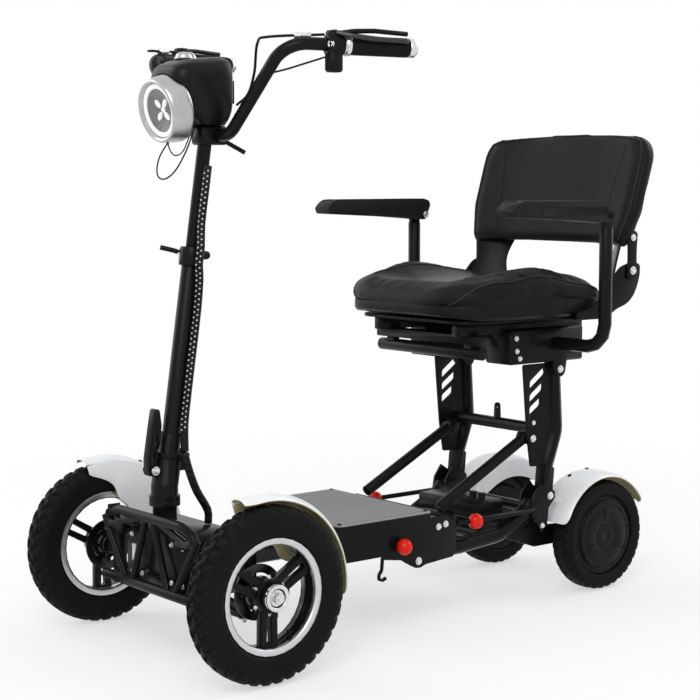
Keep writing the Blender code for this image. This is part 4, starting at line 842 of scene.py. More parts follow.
def cable(name: str, points: Sequence[Vector], radius: float, count: int = 48,
          sides: int = 10) -> bpy.types.Object:
    """Makes a round tube with closed ends along a smooth curve."""
    line = smooth_line(points, count)
    across = Vector((0.31, 0.17, 0.93)).cross(line[1] - line[0]).normalized()
    rows = []
    for index, point in enumerate(line):
        ahead = (line[min(index + 1, len(line) - 1)] - line[max(index - 1, 0)]).normalized()
        across = (across - ahead * across.dot(ahead)).normalized()
        other = ahead.cross(across)
        rows.append([point + (across * math.cos(2 * math.pi * k / sides) + other * math.sin(2 * math.pi * k / sides)) * radius
                     for k in range(sides)])
    return shade(skin(name, rows))


def bolt(centre: Vector, axis: Vector, radius: float = 0.0055, height: float = 0.004) -> bpy.types.Object:
    """A button-head screw with its socket and washer.

    Args:
        centre: Where its washer meets the surface.
        axis: The way that its head faces.
        radius: The head's radius.
        height: The head's height.

    Returns:
        The screw, as one mesh.
    """
    axis = Vector(axis).normalized()
    washer = disc(centre + axis * height * 0.15, axis, radius * 1.35, height * 0.30, 28)
    round_edges(washer, height * 0.08, 2)
    head = disc(centre + axis * height * 0.65, axis, radius, height * 0.70, 28)
    choose(head, lambda face: face.normal.dot(axis) > 0.9)
    bpy.ops.mesh.inset(thickness=radius * 0.48, depth=0)
    bpy.ops.mesh.extrude_region_move(TRANSFORM_OT_translate={"value": tuple(axis * -height * 0.35)})
    end_edit(head)
    round_edges(head, height * 0.22, 3)
    return merge("screw", [washer, head])


def nut(centre: Vector, axis: Vector, radius: float = 0.0075, height: float = 0.006) -> bpy.types.Object:
    """A hexagon nut with its washer and the end of its bolt."""
    axis = Vector(axis).normalized()
    washer = disc(centre + axis * height * 0.10, axis, radius * 1.35, height * 0.20, 28)
    body = disc(centre + axis * height * 0.60, axis, radius, height * 0.80, 6)
    round_edges(body, height * 0.09, 2, 20)
    stud = disc(centre + axis * height * 0.85, axis, radius * 0.52, height * 0.90, 20)
    round_edges(stud, height * 0.10, 2)
    return merge("nut", [washer, body, stud])


def dress(piece: bpy.types.Object, finish: bpy.types.Material) -> bpy.types.Object:
    """Gives a piece one finish."""
    piece.data.materials.clear()
    piece.data.materials.append(finish)
    return piece


def fit(piece: bpy.types.Object, name: str, body: str, slot: str, finish: bpy.types.Material,
        *replaced: str) -> bpy.types.Object:
    """Names, dresses and hangs a finished piece on its body.

    Args:
        piece: The piece.
        name: Its name.
        body: The body that it moves with.
        slot: The record's material slot; not used.
        finish: Its material.
        *replaced: The nodes that it stands for.

    Returns:
        The same piece.
    """
    piece.name = name
    dress(piece, finish)
    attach(piece, body)
    if replaced:
        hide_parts(*replaced)
    LOG.info("%s rides on %s", name, body)
    return piece


# Assemblies


@dataclass
class Finishes:
    """The materials of the whole scooter, made once."""

    coat: bpy.types.Material = field(default_factory=lambda: PowderCoat("frame_coat").make())
    cast: bpy.types.Material = field(default_factory=lambda: PowderCoat("cast_coat", 0.006, 0.36, 0.00012,
                                                                        260.0).make())
    gloss: bpy.types.Material = field(default_factory=lambda: PowderCoat("rim_enamel", 0.006, 0.22, 0.00003,
                                                                         300.0).make())
    plastic: bpy.types.Material = field(default_factory=lambda: Moulding("black_moulding").make())
    console: bpy.types.Material = field(default_factory=lambda: Moulding("console_moulding", 0.008, 0.26,
                                                                         2200.0, 0.00002).make())
    arm: bpy.types.Material = field(default_factory=lambda: Moulding("arm_foam", 0.010, 0.46, 700.0,
                                                                     0.00012).make())
    deck: bpy.types.Material = field(default_factory=lambda: DeckRubber().make())
    front_fender: bpy.types.Material = field(default_factory=lambda: FenderShell("front_fender_shell", place(0, 0, 0.151)).make())
    rear_fender: bpy.types.Material = field(default_factory=lambda: FenderShell("rear_fender_shell",
                                                                                place(0, 0.926, 0.113),
                                                                                reach=0.1215).make())
    red: bpy.types.Material = field(default_factory=lambda: RedKnob().make())
    rim: bpy.types.Material = field(default_factory=lambda: TurnedAlloy("rim_alloy", place(0, 0, 0.151), 0.60,
                                                                        0.30).make())
    alloy: bpy.types.Material = field(default_factory=lambda: TurnedAlloy("bright_parts", (0, 0, 0), 0.70,
                                                                          0.20, 900.0).make())
    silver: bpy.types.Material = field(default_factory=lambda: TurnedAlloy("bezel_silver", (0, 0, 0), 0.46,
                                                                           0.24, 300.0).make())
    dark_metal: bpy.types.Material = field(default_factory=lambda: TurnedAlloy("reflector_metal", (0, 0, 0),
                                                                               0.055, 0.26, 500.0).make())
    tyre: bpy.types.Material = field(default_factory=lambda: Rubber("tyre_rubber").make())
    grip: bpy.types.Material = field(default_factory=lambda: Rubber("grip_rubber_black", 0.007, 0.46,
                                                                    1400.0).make())
    leather: bpy.types.Material = field(default_factory=lambda: Leather().make())
    piping: bpy.types.Material = field(default_factory=lambda: Thread().make())
    clear: bpy.types.Material = field(default_factory=lambda: ClearGlass().make())
    halo: bpy.types.Material = field(default_factory=lambda: LitRing().make())
    sleeve: bpy.types.Material = field(default_factory=lambda: SpiralWrap().make())
    # pale gives the tab its own off-white and also the painted highlights on the cable sleeve.
    pale: bpy.types.Material = field(default_factory=lambda: PalePlastic().make())


@dataclass
class Carried:
    """The solids that keep their shape and get a finish."""

    finishes: Finishes

    def dress(self) -> None:
        """Gives every solid the finish of its slot, and its own one where it has one."""
        kit = self.finishes
        by_slot = {
            "black_paint": kit.coat, "black_cast": kit.cast, "black_plastic": kit.plastic,
            "deck_grey": kit.deck,
            "fender_white": kit.front_fender, "knob_red": kit.red, "bright_alloy": kit.alloy,
            "tyre_rubber": kit.tyre,
            "grip_rubber": kit.grip, "seat_leather": kit.leather, "lamp_glass": kit.clear,
            "cable_wrap": kit.sleeve,
        }
        own = {"console": kit.console, "rear_fender_l": kit.rear_fender, "rear_fender_r": kit.rear_fender,
               "rim_ring_l": kit.rim, "rim_ring_r": kit.rim, "front_rim_l": kit.gloss,
               "front_rim_r": kit.gloss,
               "armrest_pad_l": kit.arm, "armrest_pad_r": kit.arm,
               "front_hub_l": kit.dark_metal, "front_hub_r": kit.dark_metal}
        for row in frame["record"]["subparts"]:
            name = row["node"]
            node = frame["nodes"][name]
            dress(node, own.get(name, by_slot[row["material_slot"]]))
        LOG.info("dressed %d carried solids", len(frame["nodes"]))


@dataclass
class Smoothed:
    """Carried solids whose faceted meshes are merged, softened at their edges and shaded round."""

    finishes: Finishes
    knuckle_top: float = 0.2320
    axle_end: float = 0.2945
    slot_y: float = 0.747
    slots: tuple[tuple[float, float, float], ...] = ((0.374, 0.028, 0.019), (0.399, 0.034, 0.024),
                                                     (0.426, 0.040, 0.029))

    def build(self) -> None:
        """Makes the smooth copy of each one."""
        kit = self.finishes
        table = {
            "chassis": {"front_frame": kit.coat, "front_guard": kit.coat, "deck_frame": kit.coat,
                        "rear_frame": kit.coat,
                        "rear_axle_frame": kit.coat, "controller_box": kit.cast, "lock_knob_front_l": kit.red,
                        "lock_knob_front_r": kit.red,
                        "lock_knob_rear_l": kit.red, "lock_knob_rear_r": kit.red},
            "steering_head": {"steering_stem": kit.coat, "fold_latch": kit.coat, "cable_tail": kit.sleeve},
            "tie_rod": {"tie_rod": kit.coat},
            "column": {"column_lower": kit.coat, "height_clamp": kit.coat, "cable_bundle": kit.sleeve},
            "upper_column": {"column_upper": kit.coat},
            "seat_tower": {"seat_tower": kit.coat},
            "struts": {"strut_l": kit.coat, "strut_r": kit.coat},
            "seat": {"seat_base": kit.coat, "armrest_post_l": kit.coat, "armrest_post_r": kit.coat},
            "handlebar": {"brake_lever_l": kit.plastic, "brake_lever_r": kit.plastic},
        }
        for tag in ("l", "r"):
            table[f"knuckle_{tag}"] = {f"knuckle_{tag}": kit.cast}
            table[f"armrest_{tag}"] = {f"armrest_pad_{tag}": kit.arm}
            table[f"front_wheel_{tag}"] = {f"front_rim_{tag}": kit.gloss, f"rim_ring_{tag}": kit.rim}
        slots = {row["node"]: row["material_slot"] for row in frame["record"]["subparts"]}
        for body, nodes in table.items():
            for name, finish in nodes.items():
                self.smooth(name, body, slots[name], finish)

    def smooth(self, name: str, body: str, slot: str, finish: bpy.types.Material) -> None:
        """Copies one solid's mesh, merges it, rounds its edges a little and hangs the copy."""
        piece = copy_of(frame["nodes"][name], Matrix.Identity(4))
        choose(piece, lambda face: True)
        if name.startswith("knuckle"):
            bpy.ops.mesh.select_all(action="SELECT")
            bpy.ops.mesh.remove_doubles(threshold=0.00001)
            bpy.ops.mesh.select_all(action="SELECT")
            bpy.ops.mesh.bisect(plane_co=(0, 0, self.knuckle_top), plane_no=(0, 0, 1), use_fill=True,
                                clear_outer=True)
            sign = 1 if name.endswith("_l") else -1
            bpy.ops.mesh.select_all(action="SELECT")
            bpy.ops.mesh.bisect(plane_co=(sign * self.axle_end, 0, 0), plane_no=(sign, 0, 0), use_fill=True,
                                clear_outer=True)
        end_edit(piece)
        if name == "seat_tower":
            self.open_slots(piece)
        width = 0.0016 if name.startswith("armrest_pad") else 0.0006
        modify(piece, "BEVEL", width=width, segments=2, limit_method="ANGLE", angle_limit=math.radians(48),
               use_clamp_overlap=True)
        shade(piece, 46)
        fit(piece, f"{name}_smooth", body, slot, finish, name)
        if name == "cable_bundle":
            tuple(place(0, 0, 0.3605))
            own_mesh(piece)


    def open_slots(self, piece: bpy.types.Object) -> None:
        """Opens the three slanted slots of each leg's sheet to their full width."""
        for sign in (1, -1):
            for z, length, rise in self.slots:
                front, rear = self.slot_y - 0.001, self.slot_y + length + 0.001
                corners = ((front, z - 0.0030), (rear, z + rise - 0.0030), (rear, z + rise + 0.0140),
                           (front, z + 0.0140))
                rows = [[place(sign * x, y, height) for y, height in corners] for x in (0.112, 0.148)]
                cutter = skin("cutter", rows)
                modify(cutter, "BEVEL", width=0.0052, segments=4, limit_method="ANGLE",
                       angle_limit=math.radians(40), use_clamp_overlap=True)
                modify(piece, "BOOLEAN", object=cutter, operation="DIFFERENCE", solver="EXACT")
                bpy.data.objects.remove(cutter)


@dataclass
class Tyre:
    """One tyre with its tread blocks, as a closed hoop."""

    finishes: Finishes
    node: str
    body: str
    centre: Vector
    radius: float
    bore: float
    half: float
    lugs: int
    groove: float
    sign: int = 1

    def profile(self) -> list[tuple[float, float, float]]:
        """Radius, place across, and how much of the tread's relief each point takes."""
        rise, side = self.radius - self.bore, self.half
        outer = [(self.bore, side * 0.70, 0.0), (self.bore + rise * 0.10, side * 0.90, 0.0),
                 (self.bore + rise * 0.13, side * 0.93, 0.0),
                 (self.bore + rise * 0.17, side * 0.925, 0.0), (self.bore + rise * 0.40, side * 0.995, 0.0),
                 (self.bore + rise * 0.60, side, 0.0), (self.bore + rise * 0.70, side * 0.975, 0.35),
                 (self.bore + rise * 0.80, side * 0.92, 0.9),
                 (self.bore + rise * 0.885, side * 0.82, 1.0), (self.bore + rise * 0.950, side * 0.66, 1.0),
                 (self.bore + rise * 0.978, side * 0.52, 1.0)]
        crown = [(self.bore + rise * 0.982, side * 0.47, 0.6), (self.bore + rise * 0.93, side * 0.44, 0.2),
                 (self.bore + rise * 0.93, side * 0.37, 0.2),
                 (self.bore + rise * 0.992, side * 0.33, 0.9), (self.bore + rise, side * 0.17, 1.0),
                 (self.bore + rise, 0.0, 0.75)]
        half = outer + crown
        return half + [(r, -x, share) for r, x, share in half[-2::-1]]

    def build(self) -> bpy.types.Object:
        """Makes the hoop, cuts its slanted grooves as steps of the tread, and hangs it."""
        steps = self.lugs * 10
        rows = []
        for step in range(steps):
            turn = 2 * math.pi * step / steps
            row = []
            for radius, across, share in self.profile():
                slant = abs(across) / self.half * 0.95 + (0.5 if across < 0 else 0.0)
                phase = (step / 10 + slant) % 1.0
                cut = min(max((0.19 - abs(phase - 0.5)) / 0.07, 0.0), 1.0)
                reach = radius - self.groove * cut * share
                row.append(self.centre + Vector((across * self.sign, math.cos(turn) * reach,
                                                 math.sin(turn) * reach)))
            rows.append(row)
        piece = skin(self.node, rows, looped=True)
        shade(piece, 34.0)
        return fit(piece, self.node + "_tread", self.body, "tyre_rubber", self.finishes.tyre, self.node)


@dataclass
class FrontWheel:
    """Trim of one front wheel: the hub's bright ring and screw, rim bolts, valve and the brake disc on its arms."""

    finishes: Finishes
    side: Side
    track: float = 0.268
    height: float = 0.151

    def at(self, out: float, up: float = 0.0, back: float = 0.0) -> Vector:
        """A point from the wheel's centre: out from the scooter, up and back."""
        return place(self.side.sign * (self.track + out), back, self.height + up)

    def build(self) -> None:
        """Makes the tyre and the trim."""
        sign, tag = self.side.sign, self.side.tag
        body = f"front_wheel_{tag}"
        Tyre(self.finishes, f"front_tyre_{tag}", body, self.at(0), 0.1508, 0.0993, 0.0272, 36, 0.0046,
             sign).build()
        axis = ACROSS * sign
        bead = hoop("bead", self.at(0), axis, ((0.0868, -0.0100), (0.0994, -0.0100), (0.0994, -0.0220),
                                               (0.0906, -0.0222),
                                              (0.0876, -0.0205), (0.0868, -0.0180)), 144)
        fit(bead, f"rim_ring_inner_{tag}", body, "bright_alloy", self.finishes.rim)
        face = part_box(f"front_hub_{tag}")[1 if sign > 0 else 0][0] * sign - self.track
        back = self.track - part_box(f"front_hub_{tag}")[0 if sign > 0 else 1][0] * sign
        barrel = turned("barrel", self.at(0), axis, [(0.0, -back), (0.0160, -back), (0.0172, 0.002 - back),
                                                     (0.0172, -0.022), (0.0205, -0.020),
                                                    (0.0210, -0.018), (0.0210, face - 0.006),
                                                     (0.0200, face - 0.004), (0.0, face - 0.004)], 64)
        rotor = hoop("rotor", self.at(0.010 - back), axis, ((0.0330, -0.0011), (0.0480, -0.0011),
                                                            (0.0480, 0.0011), (0.0330, 0.0011)), 96)
        arms = []
        for step in range(5):
            turn = math.radians(72 * step + 20)
            arm = block(Vector((0, 0, 0)), (0.0028, 0.0065, 0.0200))
            arm.data.transform(Matrix.Translation(self.at(0.010 - back)) @ Matrix.Rotation(turn, 4, "X") @ Matrix.Translation(Vector((0, 0, 0.0255))))
            arms.append(round_edges(arm, 0.0008, 2))
        fit(merge("hub", [barrel, rotor, *arms]), f"hub_and_rotor_{tag}", body, "bright_alloy",
            self.finishes.dark_metal, f"front_hub_{tag}")
        collar = hoop("collar", self.at(face - 0.004), axis,
                      ((0.0150, 0.0), (0.0222, 0.0), (0.0232, 0.0008), (0.0234, 0.0050), (0.0226, 0.0064),
                       (0.0172, 0.0068),
                       (0.0162, 0.0060), (0.0156, 0.0030)), 64)
        fit(collar, f"hub_trim_{tag}", body, "bright_alloy", self.finishes.alloy)
        axle_nut = nut(self.at(face - 0.0030), axis, 0.0102, 0.0110)
        fit(axle_nut, f"axle_nut_{tag}", f"knuckle_{tag}", "bright_alloy", self.finishes.alloy)
        rim_bolts = []
        for step in range(6):
            turn = math.radians(step * 60 + 30)
            rim_bolts.append(bolt(self.at(0.0050, math.sin(turn) * 0.031, math.cos(turn) * 0.031), axis,
                                  0.0030, 0.0030))
        fit(merge("spoke_screws", rim_bolts), f"spoke_screws_{tag}", body, "bright_alloy",
            self.finishes.alloy)
        stem_turn = math.radians(-62)
        radial = Vector((0, math.cos(stem_turn), math.sin(stem_turn)))
        root = self.at(0.006) + radial * 0.0875
        tilt = (-radial + axis * 0.55).normalized()
        stem = turned("stem", root, tilt, [(0.0042, -0.002), (0.0046, 0.0), (0.0034, 0.004), (0.0032, 0.011),
                                           (0.0040, 0.0118),
                                           (0.0041, 0.0175), (0.0030, 0.0190), (0.0, 0.0192)], 20)
        fit(stem, f"valve_{tag}", body, "grip_rubber", self.finishes.grip)


FRONT_SKIRT = ((107.0, 0.1440), (103.0, 0.1360), (86.0, 0.1135), (77.0, 0.0900), (60.0, 0.0800),
               (45.0, 0.0720), (30.0, 0.0800), (15.0, 0.1050),
               (0.0, 0.1350), (-8.0, 0.1550))
REAR_SKIRT = ((163.0, 0.1180), (150.0, 0.1020), (130.0, 0.0900), (95.0, 0.0850), (60.0, 0.0900),
              (40.0, 0.1020), (27.0, 0.1180))


@dataclass
class Fender:
    """A thin crowned shell over a wheel, with an inner skirt that reaches down towards the hub."""

    finishes: Finishes
    side: Side
    end: str
    body: str
    axle: tuple[float, float]
    middle: float
    half: float
    outer: float
    span: tuple[float, float]
    skirt: tuple[tuple[float, float], ...]
    lift: float = 0.0
    thick: float = 0.0024

    def spot(self, x: float, angle: float, reach: float) -> Vector:
        """A point at an angle and a distance from the axle."""
        return place(self.side.sign * x, self.axle[0] + math.cos(angle) * reach,
                     self.axle[1] + math.sin(angle) * reach)

    def shell(self) -> bpy.types.Object:
        """The crowned strip over the tread."""
        rows = []
        steps, across = 80, 14
        for step in range(steps + 1):
            share = step / steps
            angle = math.radians(self.span[0] + (self.span[1] - self.span[0]) * share)
            ends = min(step / 5.0, (steps - step) / 6.0, 1.0)
            outer_half = self.half * (0.70 + 0.30 * math.sqrt(max(1.0 - (1.0 - ends) ** 2, 0.0)))
            lift = self.lift * max((share - 0.90) / 0.10, 0.0) ** 2
            row = []
            for wall in (0, 1):
                for index in range(across + 1):
                    t = (index / across * 2 - 1) * (1 if wall == 0 else -1)
                    half = outer_half if t > 0 else self.half
                    reach = self.outer - 0.0085 * abs(t) ** 3.2 + lift - (self.thick if wall else 0.0)
                    row.append(self.spot(self.middle + t * (half - (self.thick * 0.6 if wall else 0.0)),
                                         angle, reach))
            rows.append(row)
        return round_edges(skin("shell", rows), 0.0006, 2, 50)

    def inner_skirt(self) -> bpy.types.Object:
        """The side wall towards the scooter's middle."""
        line = smooth_line([Vector((degrees, reach, 0)) for degrees, reach in self.skirt], 72)
        low = self.middle - self.half
        rows = []
        for point in line:
            angle = math.radians(point.x)
            edge = self.outer - 0.0080
            rows.append([self.spot(x, angle, reach) for x, reach in
                         ((low, min(point.y, edge - 0.002)), (low, edge), (low + self.thick, edge),
                          (low + self.thick, min(point.y, edge - 0.002)))])
        return round_edges(skin("skirt", rows), 0.0007, 2, 50)

    def build(self) -> None:
        """Makes the shell, the skirt and their screws."""
        tag = self.side.tag
        finish = self.finishes.front_fender if self.end == "front" else self.finishes.rear_fender
        shell = merge("fender", [self.shell(), self.inner_skirt()])
        fit(shell, f"{self.end}_fender_shell_{tag}", self.body, "fender_white", finish,
            f"{self.end}_fender_{tag}")
        screws = []
        for degrees in (self.span[0] + 0.45 * (self.span[1] - self.span[0]),
                        self.span[0] + 0.62 * (self.span[1] - self.span[0])):
            angle = math.radians(degrees)
            out = Vector((0, math.cos(angle), math.sin(angle)))
            screws.append(bolt(self.spot(self.middle - self.half * 0.45, angle, self.outer - 0.0008), out,
                               0.0036, 0.0020))
        fit(merge("fender_screws", screws), f"{self.end}_fender_screws_{tag}", self.body, "bright_alloy",
            self.finishes.gloss)


@dataclass
class RearWheel:
    """Trim of one rear wheel: the tread, and the motor's cover with its steps and screws."""

    finishes: Finishes
    side: Side
    track: float = 0.1515
    back: float = 0.926
    height: float = 0.113

    def build(self) -> None:
        """Makes the tyre and the cover."""
        sign, tag = self.side.sign, self.side.tag
        body = f"rear_wheel_{tag}"
        centre = place(sign * self.track, self.back, self.height)
        axis = ACROSS * sign
        Tyre(self.finishes, f"rear_tyre_{tag}", body, centre, 0.1128, 0.0803, 0.0256, 34, 0.0022,
             sign).build()
        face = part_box(f"hub_motor_{tag}")[1 if sign > 0 else 0][0] * sign - self.track
        cover = turned("cover", centre + axis * (face - 0.0035), axis,
                       [(0.0, 0.0), (0.0700, 0.0), (0.0712, 0.0008), (0.0712, 0.0028), (0.0700, 0.0038),
                        (0.0640, 0.0042), (0.0628, 0.0036),
                        (0.0615, 0.0036), (0.0600, 0.0046), (0.0300, 0.0056), (0.0285, 0.0048),
                        (0.0270, 0.0048), (0.0255, 0.0062),
                        (0.0120, 0.0068), (0.0110, 0.0060), (0.0, 0.0060)], 96)
        ribs = []
        for step in range(3):
            turn = math.radians(step * 120 + 90)
            radial = Vector((0, math.cos(turn), math.sin(turn)))
            rib = block(centre + axis * (face + 0.0012) + radial * 0.0445, (0.0030, 0.0130, 0.0260))
            rib.data.transform(Matrix.Translation(-(centre + radial * 0.0445)))
            rib.data.transform(Matrix.Rotation(turn - math.pi / 2, 4, "X"))
            rib.data.transform(Matrix.Translation(centre + radial * 0.0445))
            ribs.append(round_edges(rib, 0.0011, 3))
        fit(merge("motor_cover", [cover, *ribs]), f"motor_cover_{tag}", body, "black_cast",
            self.finishes.cast)
        screws = []
        for step in range(9):
            turn = math.radians(step * 40 + 10)
            spot = centre + axis * (face + 0.0002) + Vector((0, math.cos(turn), math.sin(turn))) * 0.0662
            screws.append(bolt(spot, axis, 0.0020, 0.0020))
        fit(merge("cover_screws", screws), f"cover_screws_{tag}", body, "black_cast", self.finishes.gloss)


@dataclass
class Headlamp:
    """The round lamp: its bright bezel, the white light guide, the faceted reflector and the emitters."""

    finishes: Finishes
    face_y: float = -0.035
    face_z: float = 0.9545
    tilt: float = math.radians(12.5)
    body: str = "upper_column"

    def build(self) -> None:
        """Makes the lamp's pieces from the back to the front."""
        face = place(0, self.face_y, self.face_z)
        ahead = Vector((0, -math.cos(self.tilt), -math.sin(self.tilt)))
        bezel = [(0.0, -0.0460), (0.0340, -0.0450), (0.0500, -0.0420), (0.0574, -0.0385), (0.0596, -0.0360),
                 (0.0602, -0.0320),
                 (0.0592, -0.0220), (0.0576, -0.0120), (0.0564, -0.0040), (0.0556, -0.0008), (0.0542, 0.0014),
                 (0.0520, 0.0022),
                 (0.0502, 0.0018), (0.0490, 0.0006), (0.0478, -0.0004), (0.0474, -0.0040), (0.0450, -0.0120),
                 (0.0300, -0.0340), (0.0, -0.0360)]
        fit(turned("bezel", face, ahead, bezel, 96), "lamp_bezel", self.body, "bright_alloy",
            self.finishes.silver, "headlamp")
        halo = ((0.0378, -0.0110), (0.0378, -0.0062), (0.0386, -0.0042), (0.0420, -0.0034), (0.0456, -0.0040),
                (0.0464, -0.0060),
                (0.0464, -0.0110))
        guide = hoop("guide", face, ahead, halo, 96)
        fit(guide, "lamp_halo", self.body, "lamp_glass", self.finishes.halo)
        cup = turned("cup", face, ahead, [(0.0, -0.0170), (0.0120, -0.0166), (0.0200, -0.0142),
                                          (0.0280, -0.0108), (0.0350, -0.0072),
                                          (0.0376, -0.0062), (0.0382, -0.0088), (0.0300, -0.0140),
                                          (0.0150, -0.0210), (0.0, -0.0220)], 20)
        pick(cup)
        bpy.ops.object.shade_flat()
        fit(cup, "lamp_reflector", self.body, "black_plastic", self.finishes.dark_metal)
        across = ACROSS
        upward = ahead.cross(across).normalized()
        lens = turned("lens", face, ahead, [(0.0, -0.0012), (0.0462, -0.0012), (0.0468, 0.0),
                                            (0.0400, 0.0022), (0.0240, 0.0046), (0.0, 0.0056)], 96)
        fit(lens, "lamp_cover", self.body, "lamp_glass", self.finishes.clear, "lamp_lens")
        emitters = [turned("puck", face, ahead, [(0.0, -0.0164), (0.0050, -0.0160), (0.0054, -0.0134),
                                                 (0.0044, -0.0124), (0.0, -0.0120)], 32)]
        for step in range(4):
            turn = math.radians(45 + 90 * step)
            radial = across * math.cos(turn) + upward * math.sin(turn)
            petal = ball(Vector((0, 0, 0)), 1.0, 20, 12)
            petal.data.transform(Matrix.Diagonal((0.0092, 0.0052, 0.0030, 1)))
            basis = Matrix((radial, ahead.cross(radial), ahead)).transposed().to_4x4()
            petal.data.transform(Matrix.Translation(face + radial * 0.0155 - ahead * 0.0122) @ basis)
            emitters.append(shade(petal))
        fit(merge("emitters", emitters), "lamp_emitters", self.body, "lamp_glass", self.finishes.halo)


@dataclass
class Console:
    """The control head: the small dome on top, and the rider's display with its keys."""

    finishes: Finishes
    body: str = "upper_column"
    levels: tuple[tuple[float, float, float, float, float], ...] = (
        (0.9325, 0.0400, 0.0960, 0.026, 0.012), (0.9440, 0.0180, 0.0990, 0.040, 0.018),
        (0.9620, -0.0020, 0.1010, 0.051, 0.022),
        (0.9930, -0.0180, 0.1010, 0.056, 0.024), (1.0200, -0.0240, 0.1000, 0.056, 0.024),
        (1.0365, -0.0170, 0.0960, 0.051, 0.022),
        (1.0440, -0.0030, 0.0880, 0.041, 0.018))

    def _level(self, share: float) -> list[float]:
        """The height, front, back, half width and corner at a share of the height."""
        index = min(int(share), len(self.levels) - 2)
        part = share - index
        rows = [self.levels[min(max(index + step, 0), len(self.levels) - 1)] for step in (-1, 0, 1, 2)]
        out = []
        for first, start, stop, last in zip(*rows):
            out.append(0.5 * (2 * start + (stop - first) * part + (2 * first - 5 * start + 4 * stop - last) * part ** 2
                              + (3 * start - first - 3 * stop + last) * part ** 3))
        return out

    def shell(self) -> bpy.types.Object:
        """The smooth outer shell, hollowed where the lamp's back sits."""
        rows = []
        for step in range(37):
            z, front, back, half, corner = self._level(step / 6)
            rise = 0.10 * min(max((z - 0.990) / 0.022, 0.0), 1.0)
            row = []
            for turn in range(64):
                angle = 2 * math.pi * turn / 64
                power = 0.48
                x = half * math.copysign(abs(math.cos(angle)) ** power, math.cos(angle))
                y = (front + back) / 2 + (back - front) / 2 * math.copysign(abs(math.sin(angle)) ** power,
                                                                            math.sin(angle))
                row.append(place(x, y, z + rise * (y - 0.04)))
            rows.append(row)
        z_top = rows[-1]
        middle = sum(z_top, Vector()) / len(z_top)
        for share, lift in ((0.93, 0.0016), (0.80, 0.0028), (0.45, 0.0038), (0.12, 0.0040)):
            rows.append([middle.lerp(point, share) + UP * lift for point in z_top])
        shell = skin("shell", rows)
        lamp = Headlamp(self.finishes)
        face = place(0, lamp.face_y, lamp.face_z)
        ahead = Vector((0, -math.cos(lamp.tilt), -math.sin(lamp.tilt)))
        cutter = turned("cutter", face, ahead, [(0.0, -0.0466), (0.0344, -0.0456), (0.0506, -0.0425),
                                                (0.0582, -0.0389), (0.0612, -0.0362),
                                                (0.0616, 0.0600), (0.0, 0.0600)], 64)
        modify(shell, "BOOLEAN", object=cutter, operation="DIFFERENCE", solver="EXACT")
        bpy.data.objects.remove(cutter)
        return shade(shell, 34)

    def build(self) -> None:
        """Makes the head's pieces."""
        fit(self.shell(), "console_shell", self.body, "black_plastic", self.finishes.console, "console")
        dome = turned("dome", place(0, 0.022, 1.0455), UP, [(0.0165, 0.0), (0.0172, 0.0016), (0.0165, 0.0030),
                                                            (0.0150, 0.0034), (0.0146, 0.0060),
                                                           (0.0130, 0.0092), (0.0085, 0.0122), (0.0, 0.0134)],
                      48)
        fit(dome, "console_dome", self.body, "bright_alloy", self.finishes.silver)
        backward = Vector((0, 1, 0))
        plate = block(place(0, 0.1012, 0.990), (0.074, 0.0030, 0.040))
        choose(plate, lambda face: face.normal.dot(backward) > 0.9)
        bpy.ops.mesh.inset(thickness=0.003, depth=0)
        bpy.ops.mesh.extrude_region_move(TRANSFORM_OT_translate={"value": (0, -0.0010, 0)})
        end_edit(plate)
        round_edges(plate, 0.0008, 2)
        screen = block(place(-0.010, 0.1019, 0.992), (0.042, 0.0016, 0.028))
        round_edges(screen, 0.0006, 2)
        fit(merge("panel", [plate, screen]), "display_panel", self.body, "black_plastic", self.finishes.gloss)
        keys = []
        for x, z in ((0.0215, 1.000), (0.0215, 0.984), (0.0295, 0.992)):
            keys.append(turned("key", place(x, 0.1012, z), backward,
                               [(0.0036, 0.0), (0.0036, 0.0016), (0.0030, 0.0024), (0.0, 0.0025)], 24))
        switch = turned("switch", place(-0.0, 0.1005, 0.960), backward,
                        [(0.0075, 0.0), (0.0078, 0.0018), (0.0066, 0.0030), (0.0050, 0.0030),
                                                                      (0.0046, 0.0018), (0.0, 0.0018)], 32)
        fit(merge("keys", keys + [switch]), "console_keys", self.body, "bright_alloy", self.finishes.alloy)


